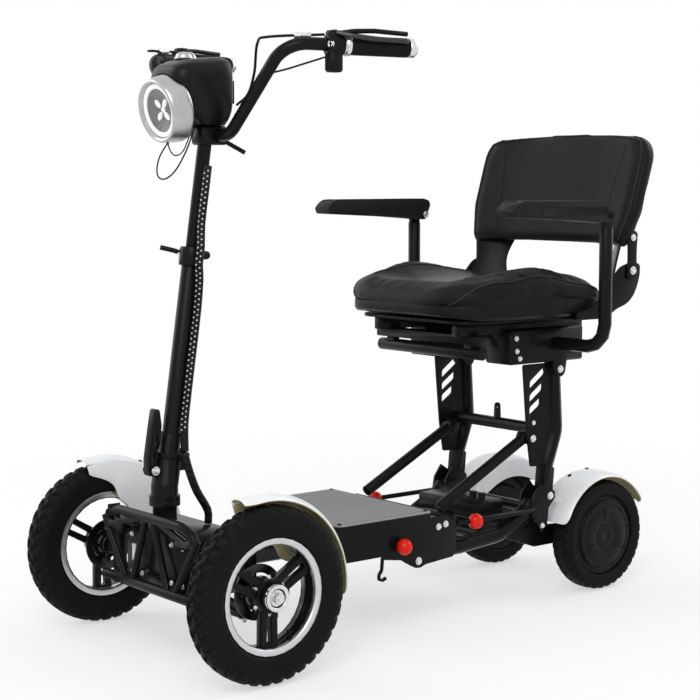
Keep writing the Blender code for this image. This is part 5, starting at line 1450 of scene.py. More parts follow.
@dataclass
class Handlebar:
    """The bar's ribbed grips with their bright collars and ends, the lever bolts, and the control cables."""

    finishes: Finishes
    pivot: tuple[float, float] = (0.083, 0.915)
    corner: tuple[float, float, float] = (0.212, 0.083, 1.064)
    tip: tuple[float, float, float] = (0.272, 0.302, 1.062)
    grip_length: float = 0.118

    def bar(self) -> None:
        """A rounder tube on the bar's own bends."""
        outer = [place(*self.tip), place(*self.corner), place(0.050, *self.pivot)]
        corners = outer + [Vector((-p.x, p.y, p.z)) for p in outer[::-1]]
        line = self._bent(corners, 0.05, 14)
        rows = []
        across = Vector((0, 0, 1)).cross(line[1] - line[0]).normalized()
        for index, point in enumerate(line):
            ahead = (line[min(index + 1, len(line) - 1)] - line[max(index - 1, 0)]).normalized()
            across = (across - ahead * across.dot(ahead)).normalized()
            other = ahead.cross(across)
            rows.append([point + (across * math.cos(math.pi * k / 12) + other * math.sin(math.pi * k / 12)) * 0.011 for k in range(24)])
        fit(shade(skin("bar", rows)), "handlebar_tube", "handlebar", "black_paint", self.finishes.coat,
            "handlebar")

    @staticmethod
    def _bent(corners: Sequence[Vector], radius: float, steps: int) -> list[Vector]:
        """A line with its corners rounded."""
        line = [corners[0] + (corners[1] - corners[0]).normalized() * 0.006]
        for before, here, after in zip(corners, corners[1:], corners[2:]):
            back, ahead = (before - here).normalized(), (after - here).normalized()
            half = back.angle(ahead) / 2
            reach = radius / math.tan(half)
            centre = here + (back + ahead).normalized() * radius / math.sin(half)
            start, stop = here + back * reach - centre, here + ahead * reach - centre
            line += [centre + start.slerp(stop, k / steps).normalized() * radius for k in range(steps + 1)]
        line.append(corners[-1] + (corners[-2] - corners[-1]).normalized() * 0.006)
        return line

    def hand(self, side: Side) -> None:
        """The grip, its collar and end, and the lever's bolt on one side."""
        sign, tag, kit = side.sign, side.tag, self.finishes
        corner, tip = place(*self.corner), place(*self.tip)
        corner.x *= sign
        tip.x *= sign
        along = (tip - corner).normalized()
        profile = [(0.0105, -self.grip_length), (0.0180, -self.grip_length),
                   (0.0184, -self.grip_length + 0.0012),
                   (0.0184, -self.grip_length + 0.0035), (0.0168, -self.grip_length + 0.0045)]
        length = -self.grip_length + 0.0055
        while length < -0.006:
            profile += [(0.0160, length), (0.01665, length + 0.0008), (0.01665, length + 0.0022),
                        (0.0160, length + 0.0030)]
            length += 0.0034
        profile += [(0.0162, -0.0035), (0.0158, -0.0005), (0.0145, 0.0), (0.0105, 0.0)]
        fit(turned("grip", tip, along, profile, 48), f"grip_sleeve_{tag}", "handlebar", "grip_rubber",
            kit.grip, f"grip_{tag}")
        cap = turned("cap", tip, along, [(0.0105, -0.0010), (0.0160, -0.0006), (0.0166, 0.0006),
                                         (0.0167, 0.0080), (0.0162, 0.0096), (0.0150, 0.0116),
                                         (0.0120, 0.0144), (0.0072, 0.0162), (0.0, 0.0168)], 48)
        inner = tip - along * self.grip_length
        collar = turned("collar", inner, along, [(0.0112, -0.0094), (0.0150, -0.0094), (0.0160, -0.0084),
                                                 (0.0160, -0.0008), (0.0186, -0.0004),
                                                 (0.0190, 0.0008), (0.0190, 0.0052), (0.0184, 0.0064),
                                                 (0.0172, 0.0066)], 48)
        fit(merge("bright", [cap, collar]), f"grip_ends_{tag}", "handlebar", "bright_alloy", kit.alloy)
        middle = inner - along * 0.019
        outward = (Vector((0, -1, 0)) + ACROSS * sign * 0.6).normalized()
        screw = bolt(middle + outward * 0.0172, outward, 0.0048, 0.0040)
        pin = bolt(middle + Vector((0.0, 0.0, 0.0245)), UP, 0.0036, 0.0026)
        fit(merge("lever_screws", [screw, pin]), f"lever_screws_{tag}", "handlebar", "bright_alloy",
            kit.alloy)
        blade_line = [middle + Vector((0.006 * sign, 0.0, 0.0195)),
                      middle + Vector((0.024 * sign, 0.010, 0.0140)) + along * 0.01,
                      middle + Vector((0.0265 * sign, 0.0, 0.0100)) + along * 0.06,
                      middle + Vector((0.022 * sign, 0.0, 0.0090)) + along * 0.118]
        blade = cable("blade", blade_line, 0.0046, 40, 12)
        tip_ball = ball(blade_line[-1], 0.0052, 20, 12)
        fit(merge("blade", [blade, shade(tip_ball)]), f"lever_blade_{tag}", "handlebar", "bright_alloy",
            kit.dark_metal)

    def cables(self) -> None:
        """The brake and throttle cables, from the lever perches along the bar to the console's back."""
        for side in Side:
            sign, tag = side.sign, side.tag
            corner, tip = Vector(self.corner), Vector(self.tip)
            along = (tip - corner).normalized()
            perch = tip - along * (self.grip_length + 0.034)
            bend = place(sign * 0.180, 0.080, 1.058)
            start = place(sign * perch.x, perch.y, perch.z) + Vector((0, -0.004, 0.016))
            low = place(sign * 0.044, 0.103, 0.968)
            brake = [start, bend + Vector((sign * 0.008, -0.012, 0.016)),
                     bend + Vector((-sign * 0.030, -0.008, 0.009)),
                     place(sign * 0.118, 0.088, 1.020), place(sign * 0.082, 0.100, 0.985), low]
            throttle = [start + Vector((0, 0.006, -0.036)), place(sign * 0.190, 0.110, 1.024),
                        place(sign * 0.150, 0.086, 1.012),
                        place(sign * 0.100, 0.098, 0.990), place(sign * 0.066, 0.106, 0.962),
                        place(sign * 0.040, 0.102, 0.952)]
            ferrule_line = smooth_line(brake, 40)
            for name, line, radius in ((f"brake_cable_{tag}", brake, 0.0024),
                                       (f"throttle_cable_{tag}", throttle, 0.0017)):
                piece = cable(name, line, radius, 44, 8)
                piece.name = name
                dress(piece, self.finishes.plastic)
                tuple(place(sign * 0.055, 0.10, 0.96))
                tuple(place(sign * 0.150, 0.083, 1.03))
                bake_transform(piece)
                LOG.info("%s blends from upper_column to handlebar", name)
            ahead = (ferrule_line[6] - ferrule_line[4]).normalized()
            ferrule = turned("ferrule", ferrule_line[5], ahead,
                             [(0.0030, -0.014), (0.0052, -0.013), (0.0056, -0.005), (0.0044, -0.004),
                              (0.0044, 0.004),
                                                                (0.0056, 0.005), (0.0052, 0.015),
                              (0.0030, 0.016)], 24)
            fit(ferrule, f"cable_ferrule_{tag}", "handlebar", "bright_alloy", self.finishes.alloy)

    def build(self) -> None:
        """Makes both hands, the bar and the cables."""
        self.bar()
        for side in Side:
            self.hand(side)
        self.cables()


@dataclass
class Column:
    """Trim of the leaning column: cable loops, pale balls that paint the sleeve's highlights, the clamp's and the
    latch's fittings.
    """

    finishes: Finishes
    foot: tuple[float, float] = (-0.0171, 0.360)
    slope: float = 0.150

    def at(self, z: float) -> Vector:
        """The column's centre at a height."""
        return place(0, self.foot[0] + (z - self.foot[1]) * self.slope, z)

    def tubes(self) -> None:
        """A rubber ring under the column and the stamped lips of the collar."""
        ring_low = ring(self.at(0.3925), Vector((0, 0.15, 1)), 0.0178, 0.0013, 72, 12)
        ring_high = ring(self.at(0.6865), Vector((0, 0.15, 1)), 0.0172, 0.0011, 72, 12)
        pad = turned("pad", place(0, -0.0183, 0.3455), UP, [(0.0, 0.0), (0.0225, 0.0), (0.0232, 0.0016),
                                                            (0.0232, 0.0110), (0.0225, 0.0125),
                                                            (0.0, 0.0125)])
        fit(pad, "column_buffer", "steering_head", "black_plastic", self.finishes.plastic)
        fit(merge("lips", [ring_low, ring_high]), "column_lips", "column", "black_plastic",
            self.finishes.plastic)

    def sleeve(self) -> None:
        """Two rows of pale balls on the camera side of the cable sleeve, as painted highlights on the turns of its
        wrap.
        """
        out = Vector((math.cos(math.radians(25)), math.sin(math.radians(25)), 0))
        high = Vector((math.cos(math.radians(-5)), math.sin(math.radians(-5)), 0))
        mid = out.lerp(high, 0.5)
        route = [self.at(z) + side * reach for z, side, reach in
                 ((0.362, out, 0.03245), (0.395, out, 0.02695), (0.430, out, 0.02445), (0.52, out, 0.02445),
                  (0.61, out, 0.02445),
                  (0.665, mid, 0.02745), (0.690, high, 0.02995), (0.720, high, 0.02995),
                  (0.760, high, 0.02175), (0.82, high, 0.02175),
                  (0.862, high, 0.02175))]
        line = smooth_line(route, 108)
        # The balls sit on the side that faces the camera, in two staggered rows, as painted highlights.
        camera_side = Vector((0.62, -0.78, 0.0))
        bead = ball(Vector((0, 0, 0)), 0.00165, 10, 6)
        highlight_dots = []
        for index in range(8, 106):
            ahead = (line[index + 1] - line[index - 1]).normalized()
            face = (camera_side - ahead * camera_side.dot(ahead)).normalized()
            other = ahead.cross(face)
            lean = math.radians(27 if index % 2 else -27)
            facing = face * math.cos(lean) + other * math.sin(lean)
            highlight_dots.append(copy_of(bead, Matrix.Translation(line[index] + facing * 0.0069)))
        bpy.data.objects.remove(bead)
        piece = shade(merge("highlight_dots", highlight_dots))
        fit(piece, "sleeve_highlight_dots", "column", "cable_wrap", self.finishes.pale)
        tuple(place(0, 0, 0.3605))
        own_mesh(piece)

    def loops(self) -> None:
        """The thin lamp cables that hang in two loops under the lamp and run into the console."""
        start = place(0.004, 0.006, 0.926)
        big = [start, place(0.006, -0.014, 0.904), place(0.008, -0.036, 0.874), place(0.008, -0.040, 0.846),
               place(0.008, -0.026, 0.838),
               place(0.008, -0.004, 0.852), place(0.008, 0.018, 0.884), place(0.006, 0.034, 0.916),
               place(0.004, 0.044, 0.940)]
        small = [place(-0.006, 0.004, 0.924), place(-0.006, -0.008, 0.900), place(-0.004, 0.002, 0.880),
                 place(-0.004, 0.020, 0.886),
                 place(-0.004, 0.034, 0.912), place(-0.004, 0.046, 0.940)]
        pieces = [cable("big", big, 0.0014, 56, 8), cable("small", small, 0.0012, 44, 8)]
        fit(merge("loops", pieces), "lamp_leads", "upper_column", "black_plastic", self.finishes.plastic)

    def fittings(self) -> None:
        """The clamp's knob and bolts, the nut and bolt at the latch's pivot, and the head's clamp screws."""
        kit = self.finishes
        low = self.at(0.7025)
        knob_at = low + Vector((0, 0.034, 0.0015))
        backward = Vector((0, 1, 0))
        knob = turned("knob", knob_at, backward, [(0.0060, -0.014), (0.0074, -0.013), (0.0078, -0.004),
                                                  (0.0070, 0.0), (0.0, 0.0008)], 18)
        fit(knob, "clamp_knob", "column", "black_plastic", kit.plastic)
        clamp_bolts = [bolt(low + Vector((-0.026, -0.0080, 0.0020)), Vector((0, -1, 0)), 0.0042, 0.0036),
                       bolt(low + Vector((-0.026, -0.0080, -0.0080)), Vector((0, -1, 0)), 0.0032, 0.0030)]
        fit(merge("clamp_bolts", clamp_bolts), "clamp_bolts", "column", "bright_alloy", kit.alloy)
        pivot = place(0, -0.0545, 0.331)
        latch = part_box("fold_latch")
        pieces = [nut(Vector((latch[1][0] - 0.0005, pivot.y, pivot.z)), ACROSS, 0.0058, 0.0056),
                  bolt(Vector((latch[0][0] + 0.0005, pivot.y, pivot.z)), -ACROSS, 0.0058, 0.0040)]
        fit(merge("latch_screws", pieces), "latch_screws", "steering_head", "bright_alloy", kit.alloy)
        head = [bolt(place(x, 0.0835, 0.9325), UP, 0.0036, 0.0034) for x in (-0.0115, 0.0115)]
        fit(merge("head_screws", head), "head_screws", "upper_column", "bright_alloy", kit.alloy)

    def build(self) -> None:
        """Makes the column's trim."""
        self.tubes()
        self.sleeve()
        self.loops()
        self.fittings()


@dataclass
class Chassis:
    """Screws, nuts, tread edging and tabs of the deck, the rails, the front block and the axles."""

    finishes: Finishes
    deck_top: float = 0.216
    deck_half: float = 0.151
    deck_y: tuple[float, float] = (0.245, 0.469)

    def deck(self) -> None:
        """The tread mat with its ribs and a rolled edge, and the screws at its corners."""
        front, rear = self.deck_y
        mat = block(place(0, (front + rear) / 2, self.deck_top + 0.0004),
                    (2 * self.deck_half - 0.016, rear - front - 0.016, 0.0012))
        choose(mat, lambda face: face.normal.z > 0.9)
        bpy.ops.mesh.inset(thickness=0.004, depth=0)
        bpy.ops.mesh.extrude_region_move(TRANSFORM_OT_translate={"value": (0, 0, -0.0004)})
        end_edit(mat)
        round_edges(mat, 0.0003, 2)
        ribs = []
        count = 33
        for index in range(count):
            x = (index - (count - 1) / 2) * (2 * self.deck_half - 0.032) / (count - 1)
            rib = block(place(x, (front + rear) / 2, self.deck_top + 0.0009),
                        (0.0030, rear - front - 0.030, 0.0009))
            choose(rib, lambda face: face.normal.z > 0.9)
            bpy.ops.transform.resize(value=(0.55, 0.997, 1.0),
                                     center_override=tuple(place(x, (front + rear) / 2, self.deck_top)))
            ribs.append(end_edit(rib))
        fit(merge("mat", [mat, *ribs]), "deck_mat", "chassis", "deck_grey", self.finishes.deck)
        screws = [bolt(place(x, y, self.deck_top + 0.0002), UP, 0.0036, 0.0020)
                  for x in (-0.142, 0.142) for y in (front + 0.009, rear - 0.009)]
        fit(merge("deck_screws", screws), "deck_screws", "chassis", "black_paint", self.finishes.gloss)

    def sides(self) -> None:
        """The bright bolts on the deck's sides, the rail ends and the leg hinges, on both sides."""
        deck_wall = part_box("deck_frame")[1][0]
        bolts = []
        for side in Side:
            axis = ACROSS * side.sign
            for y, z, radius in ((0.4870, 0.1840, 0.0048), (0.5050, 0.1870, 0.0048),
                                 (0.4370, 0.1250, 0.0056)):
                bolts.append(bolt(place(side.sign * deck_wall, y, z), axis, radius, 0.0042))
            for y, z, radius in ((0.789, 0.208, 0.0058), (0.767, 0.150, 0.0040)):
                bolts.append(bolt(place(side.sign * self._wall(y, z), y, z), axis, radius, 0.0044))
        fit(merge("side_bolts", bolts), "side_bolts", "chassis", "bright_alloy", self.finishes.alloy)

    @staticmethod
    def _wall(y: float, z: float) -> float:
        """How far out the rear frame reaches at a place on its side."""
        node = frame["nodes"]["rear_frame"]
        inverse = node.matrix_world.inverted()
        hit, spot, _, _ = node.ray_cast(inverse @ place(0.40, y, z), inverse.to_3x3() @ Vector((-1, 0, 0)))
        return (node.matrix_world @ spot).x if hit else 0.146

    def front(self) -> None:
        """The pale bracket tab, the bright kingpin nuts, and the block's screws."""
        kit = self.finishes
        bright = []
        for side in Side:
            sign = side.sign
            for z in (0.2165, 0.0975):
                axis = UP if z > 0.15 else -UP
                bright.append(nut(place(sign * 0.200, 0.0, z), axis, 0.0062, 0.0055))
        fit(merge("kingpin_nuts", bright), "kingpin_nuts", "chassis", "bright_alloy", kit.alloy)
        screws = []
        for x in (-0.082, -0.048, 0.048, 0.082):
            for z in (0.136, 0.204):
                screws.append(bolt(place(x, -0.0445, z), Vector((0, -1, 0)), 0.0040, 0.0034))
        fit(merge("block_screws", screws), "block_screws", "chassis", "bright_alloy", kit.alloy)
        tab = block(place(-0.070, -0.0480, 0.172), (0.011, 0.0030, 0.030))
        choose(tab, lambda face: face.normal.y < -0.9)
        bpy.ops.mesh.inset(thickness=0.0022, depth=0)
        bpy.ops.mesh.extrude_region_move(TRANSFORM_OT_translate={"value": (0, 0.0010, 0)})
        end_edit(tab)
        round_edges(tab, 0.0007, 2)
        fit(tab, "pale_bracket", "chassis", "black_plastic", kit.pale)

    def tower(self) -> None:
        """Pivot screws of the legs, the struts and the seat's ears."""
        kit = self.finishes
        legs = []
        for side in Side:
            axis = ACROSS * side.sign
            legs.append(bolt(place(side.sign * 0.1335, 0.755, 0.325), axis, 0.0054, 0.0040))
            legs.append(bolt(place(side.sign * 0.1328, 0.757, 0.3565), axis, 0.0036, 0.0030))
        fit(merge("strut_screws", legs), "strut_screws", "seat_tower", "bright_alloy", kit.alloy)
        ears = []
        for side in Side:
            axis = ACROSS * side.sign
            ears.append(bolt(place(side.sign * 0.1503, 0.813, 0.462), axis, 0.0056, 0.0044))
            for y, z in ((0.690, 0.530), (0.692, 0.505), (0.700, 0.490)):
                ears.append(bolt(place(side.sign * 0.1500, y, z), axis, 0.0040, 0.0034))
        fit(merge("seat_box_screws", ears), "seat_box_screws", "seat", "bright_alloy", kit.alloy)

    def build(self) -> None:
        """Makes all of the chassis trim."""
        self.deck()
        self.sides()
        self.front()
        self.tower()


@dataclass
class SeatPlates:
    """The pan under the cushion with its rounded ears, and the two angled necks of the backrest."""

    finishes: Finishes
    pan_z: tuple[float, float] = (0.5643, 0.5703)
    ear_x: tuple[float, float] = (0.2115, 0.2165)
    ear_outline: tuple[tuple[float, float], ...] = (
        (0.790, 0.5660), (0.865, 0.5655), (0.905, 0.5820), (0.931, 0.5905), (0.949, 0.6030), (0.961, 0.6200),
        (0.969, 0.6400),
        (0.972, 0.6580), (0.969, 0.6700), (0.952, 0.6735), (0.930, 0.6705), (0.912, 0.6630), (0.893, 0.6440),
        (0.862, 0.6080),
        (0.820, 0.5850), (0.790, 0.5800))

    def pan(self) -> None:
        """A pressed plate with round corners, and the strips that carry the ears."""
        plate = block(place(0, 0.712, sum(self.pan_z) / 2), (0.340, 0.345, self.pan_z[1] - self.pan_z[0]))
        pick(plate)
        bpy.ops.object.mode_set(mode="EDIT")
        bpy.ops.mesh.select_mode(type="EDGE")
        bpy.ops.mesh.select_all(action="DESELECT")
        bpy.ops.object.mode_set(mode="OBJECT")
        for edge in plate.data.edges:
            first, second = (plate.data.vertices[index].co for index in edge.vertices)
            edge.select = abs(first.z - second.z) > 0.003
        bpy.ops.object.mode_set(mode="EDIT")
        bpy.ops.mesh.bevel(offset=0.055, segments=12, affect="EDGES")
        end_edit(plate)
        round_edges(plate, 0.0012, 2, 50)
        strips = []
        for side in Side:
            strip = block(place(side.sign * 0.1830, 0.840, 0.5673), (0.0660, 0.075, 0.0058))
            strips.append(round_edges(strip, 0.0012, 2))
            strips.append(self.ear(side))
        fit(merge("pan", [plate, *strips]), "seat_pan_plate", "seat", "black_paint", self.finishes.coat,
            "seat_pan")

    def ear(self, side: Side) -> bpy.types.Object:
        """The upright side plate that holds the backrest's pivot."""
        low, high = self.ear_x
        line = smooth_line([place(0, y, z) for y, z in (*self.ear_outline, self.ear_outline[0])], 90)[:-1]
        rows = [[Vector((side.sign * x, point.y, point.z)) for point in line] for x in (low, high)]
        return round_edges(skin("ear", rows), 0.0010, 2, 50)

    def necks(self) -> None:
        """Waisted plates at 45 degrees from the pivots up to the backrest's shell."""
        pieces = []
        for side in Side:
            rows = []
            middle, run = Vector((0.1800, 0.9300)), Vector((-0.067, 0.057)).normalized()
            normal = Vector((run.y, -run.x))
            for step in range(25):
                share = step / 24
                z = 0.628 + 0.098 * share
                lean = 0.30 * (z - 0.658)
                waist = 1.0 - 0.22 * math.sin(math.pi * min(share / 0.92, 1.0)) ** 1.3
                ring = []
                for length, out in ((-0.038 * waist, 0.0), (-0.038 * waist, 1.0), (0.047 * waist, 1.0),
                                    (0.047 * waist, 0.0)):
                    spot = middle + run * length + normal * (out * 0.0042 - 0.0021)
                    ring.append(place(side.sign * spot.x, spot.y + lean, z))
                rows.append(ring)
            neck = skin("neck", rows)
            pick(neck)
            pieces.append(round_edges(neck, 0.0013, 2, 50))
            flange = []
            for step in range(25):
                share = step / 24
                z = 0.640 + 0.097 * share
                tips = max(abs(share - 0.5) - 0.42, 0.0) / 0.08
                width = 0.0150 * (1.0 - 0.18 * math.sin(math.pi * share) ** 1.3) * math.sqrt(max(1.0 - 0.75 * tips ** 2, 0.0))
                flange.append([place(side.sign * x, 0.943 + depth * width, z) for x, depth in
                               ((0.2176, -1.0), (0.2220, -1.0), (0.2220, 1.0), (0.2176, 1.0))])
            pieces.append(round_edges(skin("flange", flange), 0.0012, 2, 50))
        pieces += self.back_shell()
        fit(merge("necks", pieces), "backrest_necks", "backrest", "black_paint", self.finishes.coat,
            "backrest_frame")
        screws = []
        for side in Side:
            axis = ACROSS * side.sign
            screws.append(bolt(place(side.sign * 0.2225, 0.943, 0.658), axis, 0.0062, 0.0044))
            screws.append(bolt(place(side.sign * 0.2222, 0.943, 0.724), axis, 0.0052, 0.0038))
        fit(merge("back_screws", screws), "backrest_screws", "backrest", "bright_alloy", self.finishes.alloy)

    def back_shell(self) -> list[bpy.types.Object]:
        """The pressed plate behind the backrest's pad and the cross rail that holds it."""
        foot, top = Vector((0.942, 0.699)), Vector((1.006, 0.909))
        run = (top - foot).normalized()
        normal = Vector((-run.y, run.x))
        outline = [(0.190, 0.030), (0.190, 0.150), (0.180, 0.186), (0.150, 0.202), (-0.150, 0.202),
                   (-0.180, 0.186), (-0.190, 0.150),
                   (-0.190, 0.030), (-0.176, 0.016), (0.176, 0.016)]
        rows = []
        for forward in (-0.0042, 0.0004):
            row = []
            for x, along in outline:
                spot = foot + run * along + normal * forward
                row.append(place(x, spot.x, spot.y))
            rows.append(row)
        plate = round_edges(skin("plate", rows), 0.0014, 2, 50)
        spot = foot + run * 0.045 - normal * 0.0120
        rail = round_edges(disc(place(0, spot.x, spot.y), ACROSS, 0.0085, 0.3860, 32), 0.0012, 2)
        return [plate, rail]

    def build(self) -> None:
        """Makes the pan and the necks."""
        self.pan()
        self.necks()


@dataclass
class Upholstery:
    """The padded cushion and backrest, swollen by cloth pressure, with their piping."""

    finishes: Finishes
    voxel: float = 0.0050
    steps: int = 20
    back_height: float = 0.2355
    saddle: tuple[tuple[float, ...], ...] = (
        (0.5045, 0.070, 0.036, 0.608, 0.608), (0.5085, 0.112, 0.035, 0.622, 0.623),
        (0.516, 0.140, 0.035, 0.632, 0.633),
        (0.528, 0.162, 0.035, 0.6365, 0.640), (0.545, 0.179, 0.036, 0.638, 0.646),
        (0.570, 0.193, 0.038, 0.638, 0.651),
        (0.605, 0.202, 0.041, 0.637, 0.657), (0.650, 0.207, 0.045, 0.636, 0.665),
        (0.700, 0.2085, 0.049, 0.635, 0.669),
        (0.750, 0.2085, 0.051, 0.634, 0.664), (0.800, 0.207, 0.046, 0.632, 0.654),
        (0.845, 0.205, 0.042, 0.629, 0.646),
        (0.872, 0.201, 0.036, 0.624, 0.637), (0.888, 0.192, 0.030, 0.616, 0.624),
        (0.896, 0.176, 0.026, 0.606, 0.610))

    def swell(self, piece: bpy.types.Object, pressure: float, cap: float,
              keep: Callable[[Vector], float]) -> bpy.types.Object:
        """Remeshes a form, blows it up as cloth and limits how far each point goes.

        Args:
            piece: The form.
            pressure: The cloth's pressure.
            cap: The furthest that a point may move.
            keep: How much of its move each point keeps, from 0 to 1.

        Returns:
            The same piece, swollen.
        """
        modify(piece, "REMESH", mode="VOXEL", voxel_size=self.voxel, adaptivity=0.0)
        modify(piece, "SMOOTH", factor=0.5, iterations=4)
        before = [vertex.co.copy() for vertex in piece.data.vertices]
        pick(piece)
        cloth = piece.modifiers.new("cloth", "CLOTH")
        cloth.settings.use_pressure = True
        cloth.settings.uniform_pressure_force = pressure
        cloth.settings.effector_weights.gravity = 0.0
        cloth.settings.quality = 4
        cloth.settings.tension_stiffness = 12
        cloth.settings.compression_stiffness = 12
        cloth.settings.bending_stiffness = 0.4
        cloth.collision_settings.use_collision = False
        scene = bpy.context.scene
        cloth.point_cache.frame_start = 1
        cloth.point_cache.frame_end = self.steps
        for step in range(1, self.steps + 1):
            scene.frame_set(step)
        graph = bpy.context.evaluated_depsgraph_get()
        puffed = piece.evaluated_get(graph).to_mesh()
        after = [vertex.co.copy() for vertex in puffed.vertices]
        piece.evaluated_get(graph).to_mesh_clear()
        piece.modifiers.clear()
        scene.frame_set(1)
        for vertex, start, stop in zip(piece.data.vertices, before, after):
            move = stop - start
            if move.length > cap:
                move = move.normalized() * cap
            vertex.co = start + move * keep(start)
        modify(piece, "SMOOTH", factor=0.4, iterations=3)
        modify(piece, "SUBSURF", levels=1, render_levels=1)
        return shade(piece, 180)

    def cushion(self) -> None:
        """The saddle cushion: a round low front, a bolster on each side, a curled-up rim, and its piping."""
        low = 0.5714
        rows = []
        table = self._dense(self.saddle)
        for y, half, under, middle, side in table:
            rise = side - low
            edge = low + under
            curl = 0.020 * max((0.572 - y) / 0.068, 0.0) ** 1.3
            wall = [(half * 0.60, low + curl * 0.6), (half * 0.80, low + max(under * 0.16, curl)),
                    (half - 0.018, low + under * 0.62 + curl * 0.3),
                    (half - 0.005, low + under * 0.90), (half - 0.001, edge)]
            top = [(half, edge + (side - edge) * 0.28), (half - 0.003, edge + (side - edge) * 0.58),
                   (half - 0.012, low + rise * 0.90),
                   (half - 0.028, side), (half - 0.050, side - (side - middle) * 0.20),
                   (half * 0.62, middle + (side - middle) * 0.30),
                   (half * 0.46, middle + (side - middle) * 0.07), (half * 0.22, middle)]
            right = wall + top
            rows.append([place(x, y, z) for x, z in right] + [place(0, y, middle + 0.0005)] + [place(-x, y, z) for x, z in right[::-1]])
        base_rows = []
        for y, half, under, middle, side in table:
            foot = low + 0.012 * max((0.572 - y) / 0.068, 0.0) ** 1.3
            top, wide = low + under * 0.82, half - 0.011
            right = [(wide, top), (wide, foot + 0.006), (wide - 0.006, foot)]
            base_rows.append([place(x, y, z) for x, z in right] + [place(-x, y, z) for x, z in right[::-1]])
        base = round_edges(skin("base", base_rows[2:-2]), 0.0020, 2, 50)
        fit(base, "cushion_base", "seat", "black_plastic", self.finishes.plastic)
        form = skin("cushion", rows)
        swollen = self.swell(form, 4.0, 0.006, lambda at: min(max((at.z - low - 0.004) / 0.02, 0.0),
                                                              1.0) * self._inside(at))
        for vertex in swollen.data.vertices:
            vertex.co.z = max(vertex.co.z, low)
        fit(swollen, "cushion_leather", "seat", "seat_leather", self.finishes.leather, "seat_cushion")
        rim = [(half - 0.007, y, low + (side - low) * 0.86) for y, half, under, middle,
               side in table if 0.620 < y < 0.890]
        nose = [(0.128, 0.510, 0.588), (0.150, 0.520, 0.604), (0.168, 0.537, 0.622), (0.180, 0.560, 0.640),
                (0.190, 0.595, 0.653)]
        for side_of in Side:
            route = [place(side_of.sign * x, y, z) for x, y, z in nose + rim]
            self._seam(f"cushion_piping_{side_of.tag}", swollen, route, 0.0019, "seat")
        channel = [(half * 0.70, y, side + 0.01) for y, half, under, middle,
                   side in table if 0.560 < y < 0.885]
        for side_of in Side:
            line = [place(side_of.sign * x, y, z) for x, y, z in channel]
            self._seam(f"cushion_channel_{side_of.tag}", swollen, line, 0.0011, "seat")

    @staticmethod
    def _inside(at: Vector) -> float:
        """1 inside the seat's place, and less near its ends, so that the box is kept."""
        y = at.y - AXLE_Y
        return min(max((y - 0.497) / 0.020, 0.15), 1.0) * min(max((0.903 - y) / 0.020, 0.15), 1.0)

    @staticmethod
    def _dense(rows: Sequence[Sequence[float]], parts: int = 4) -> list[list[float]]:
        """More rows between the given ones, on smooth curves."""
        out = []
        last = len(rows) - 1
        for index in range(last):
            span = [rows[min(max(index + step, 0), last)] for step in (-1, 0, 1, 2)]
            for part in range(parts):
                t = part / parts
                out.append([0.5 * (2 * b + (c - a) * t + (2 * a - 5 * b + 4 * c - d) * t * t + (3 * b - a - 3 * c + d) * t ** 3)
                            for a, b, c, d in zip(*span)])
        out.append(list(rows[-1]))
        return out

    def _seam(self, name: str, piece: bpy.types.Object, route: Sequence[Vector], radius: float,
              body: str) -> None:
        """Lays a piping cord on a padded piece along a route."""
        line = []
        for point in smooth_line(route, 150):
            found, spot, normal, _ = piece.closest_point_on_mesh(point)
            line.append(spot + normal * radius * 0.25 if found else point)
        fit(cable(name, line, radius, 220, 8), name, body, "seat_leather", self.finishes.piping)

    def back_point(self, along: float, forward: float, x: float) -> Vector:
        """A point of the backrest: up its rear face, forward from that face, and across."""
        foot, top = Vector((0.942, 0.699)), Vector((1.006, 0.909))
        run = (top - foot).normalized()
        spot = foot + run * along + Vector((-run.y, run.x)) * forward
        return place(x, spot.x, spot.y)

    def half_at(self, along: float) -> float:
        """The backrest's half width at a height up it: a narrower foot and round top corners."""
        foot = 0.2165 + 0.0195 * min(along / 0.080, 1.0) ** 0.8
        over = min(max(along - (self.back_height - 0.062), 0.0) / 0.062, 1.0)
        return foot * (1.0 - 0.30 * (1.0 - (max(1.0 - over ** 2.6, 0.0)) ** (1 / 2.6)))

    def backrest(self) -> None:
        """The bucket pad: a thin hollow middle between deep side wings, a crowned top and an arched foot."""
        height = self.back_height
        rows = []
        count = 46
        samples = 25
        for index in range(count + 1):
            share = index / count
            along = height * share
            half = self.half_at(along)
            ends = min(along / 0.016, (height - along) / 0.020, 1.0)
            full = 0.34 + 0.66 * math.sqrt(max(1.0 - (1.0 - ends) ** 2, 0.0))
            taper = 0.80 + 0.20 * min(share / 0.35, 1.0)
            ring = []
            for wall in (0, 1):
                for turn in range(samples):
                    t = math.sin((turn / (samples - 1) - 0.5) * math.pi) * (1 if wall == 0 else -1)
                    x = half * t
                    wing = max(abs(t) - 0.40, 0.0) / 0.60
                    ahead = 0.0235 + 0.0225 * wing ** 1.9 * taper
                    behind = 0.0025 * (1.0 - wing)
                    round_off = math.sqrt(max(1.0 - abs(t) ** 16, 0.0))
                    centre = (ahead + behind) / 2
                    depth = (ahead - behind) / 2 * full * (0.30 + 0.70 * round_off)
                    arch = 0.011 * (1.0 - t * t) * max(1.0 - along / 0.045, 0.0)
                    crown = 0.007 * (1.0 - t * t) * max((along - height + 0.06) / 0.06, 0.0)
                    ring.append(self.back_point(along + arch + crown,
                                                centre + (depth if wall == 0 else -depth), x))
            rows.append(ring)
        form = skin("backrest", rows)
        swollen = self.swell(form, 3.0, 0.0035, lambda at: 0.8)
        fit(swollen, "backrest_leather", "backrest", "seat_leather", self.finishes.leather, "backrest_pad")
        levels = [height * (0.03 + 0.91 * step / 30) for step in range(31)]
        front = [(self.half_at(a) - 0.0095, a, 0.0235 + 0.020 * (0.80 + 0.20 * min(a / height / 0.35, 1.0))) for a in levels]
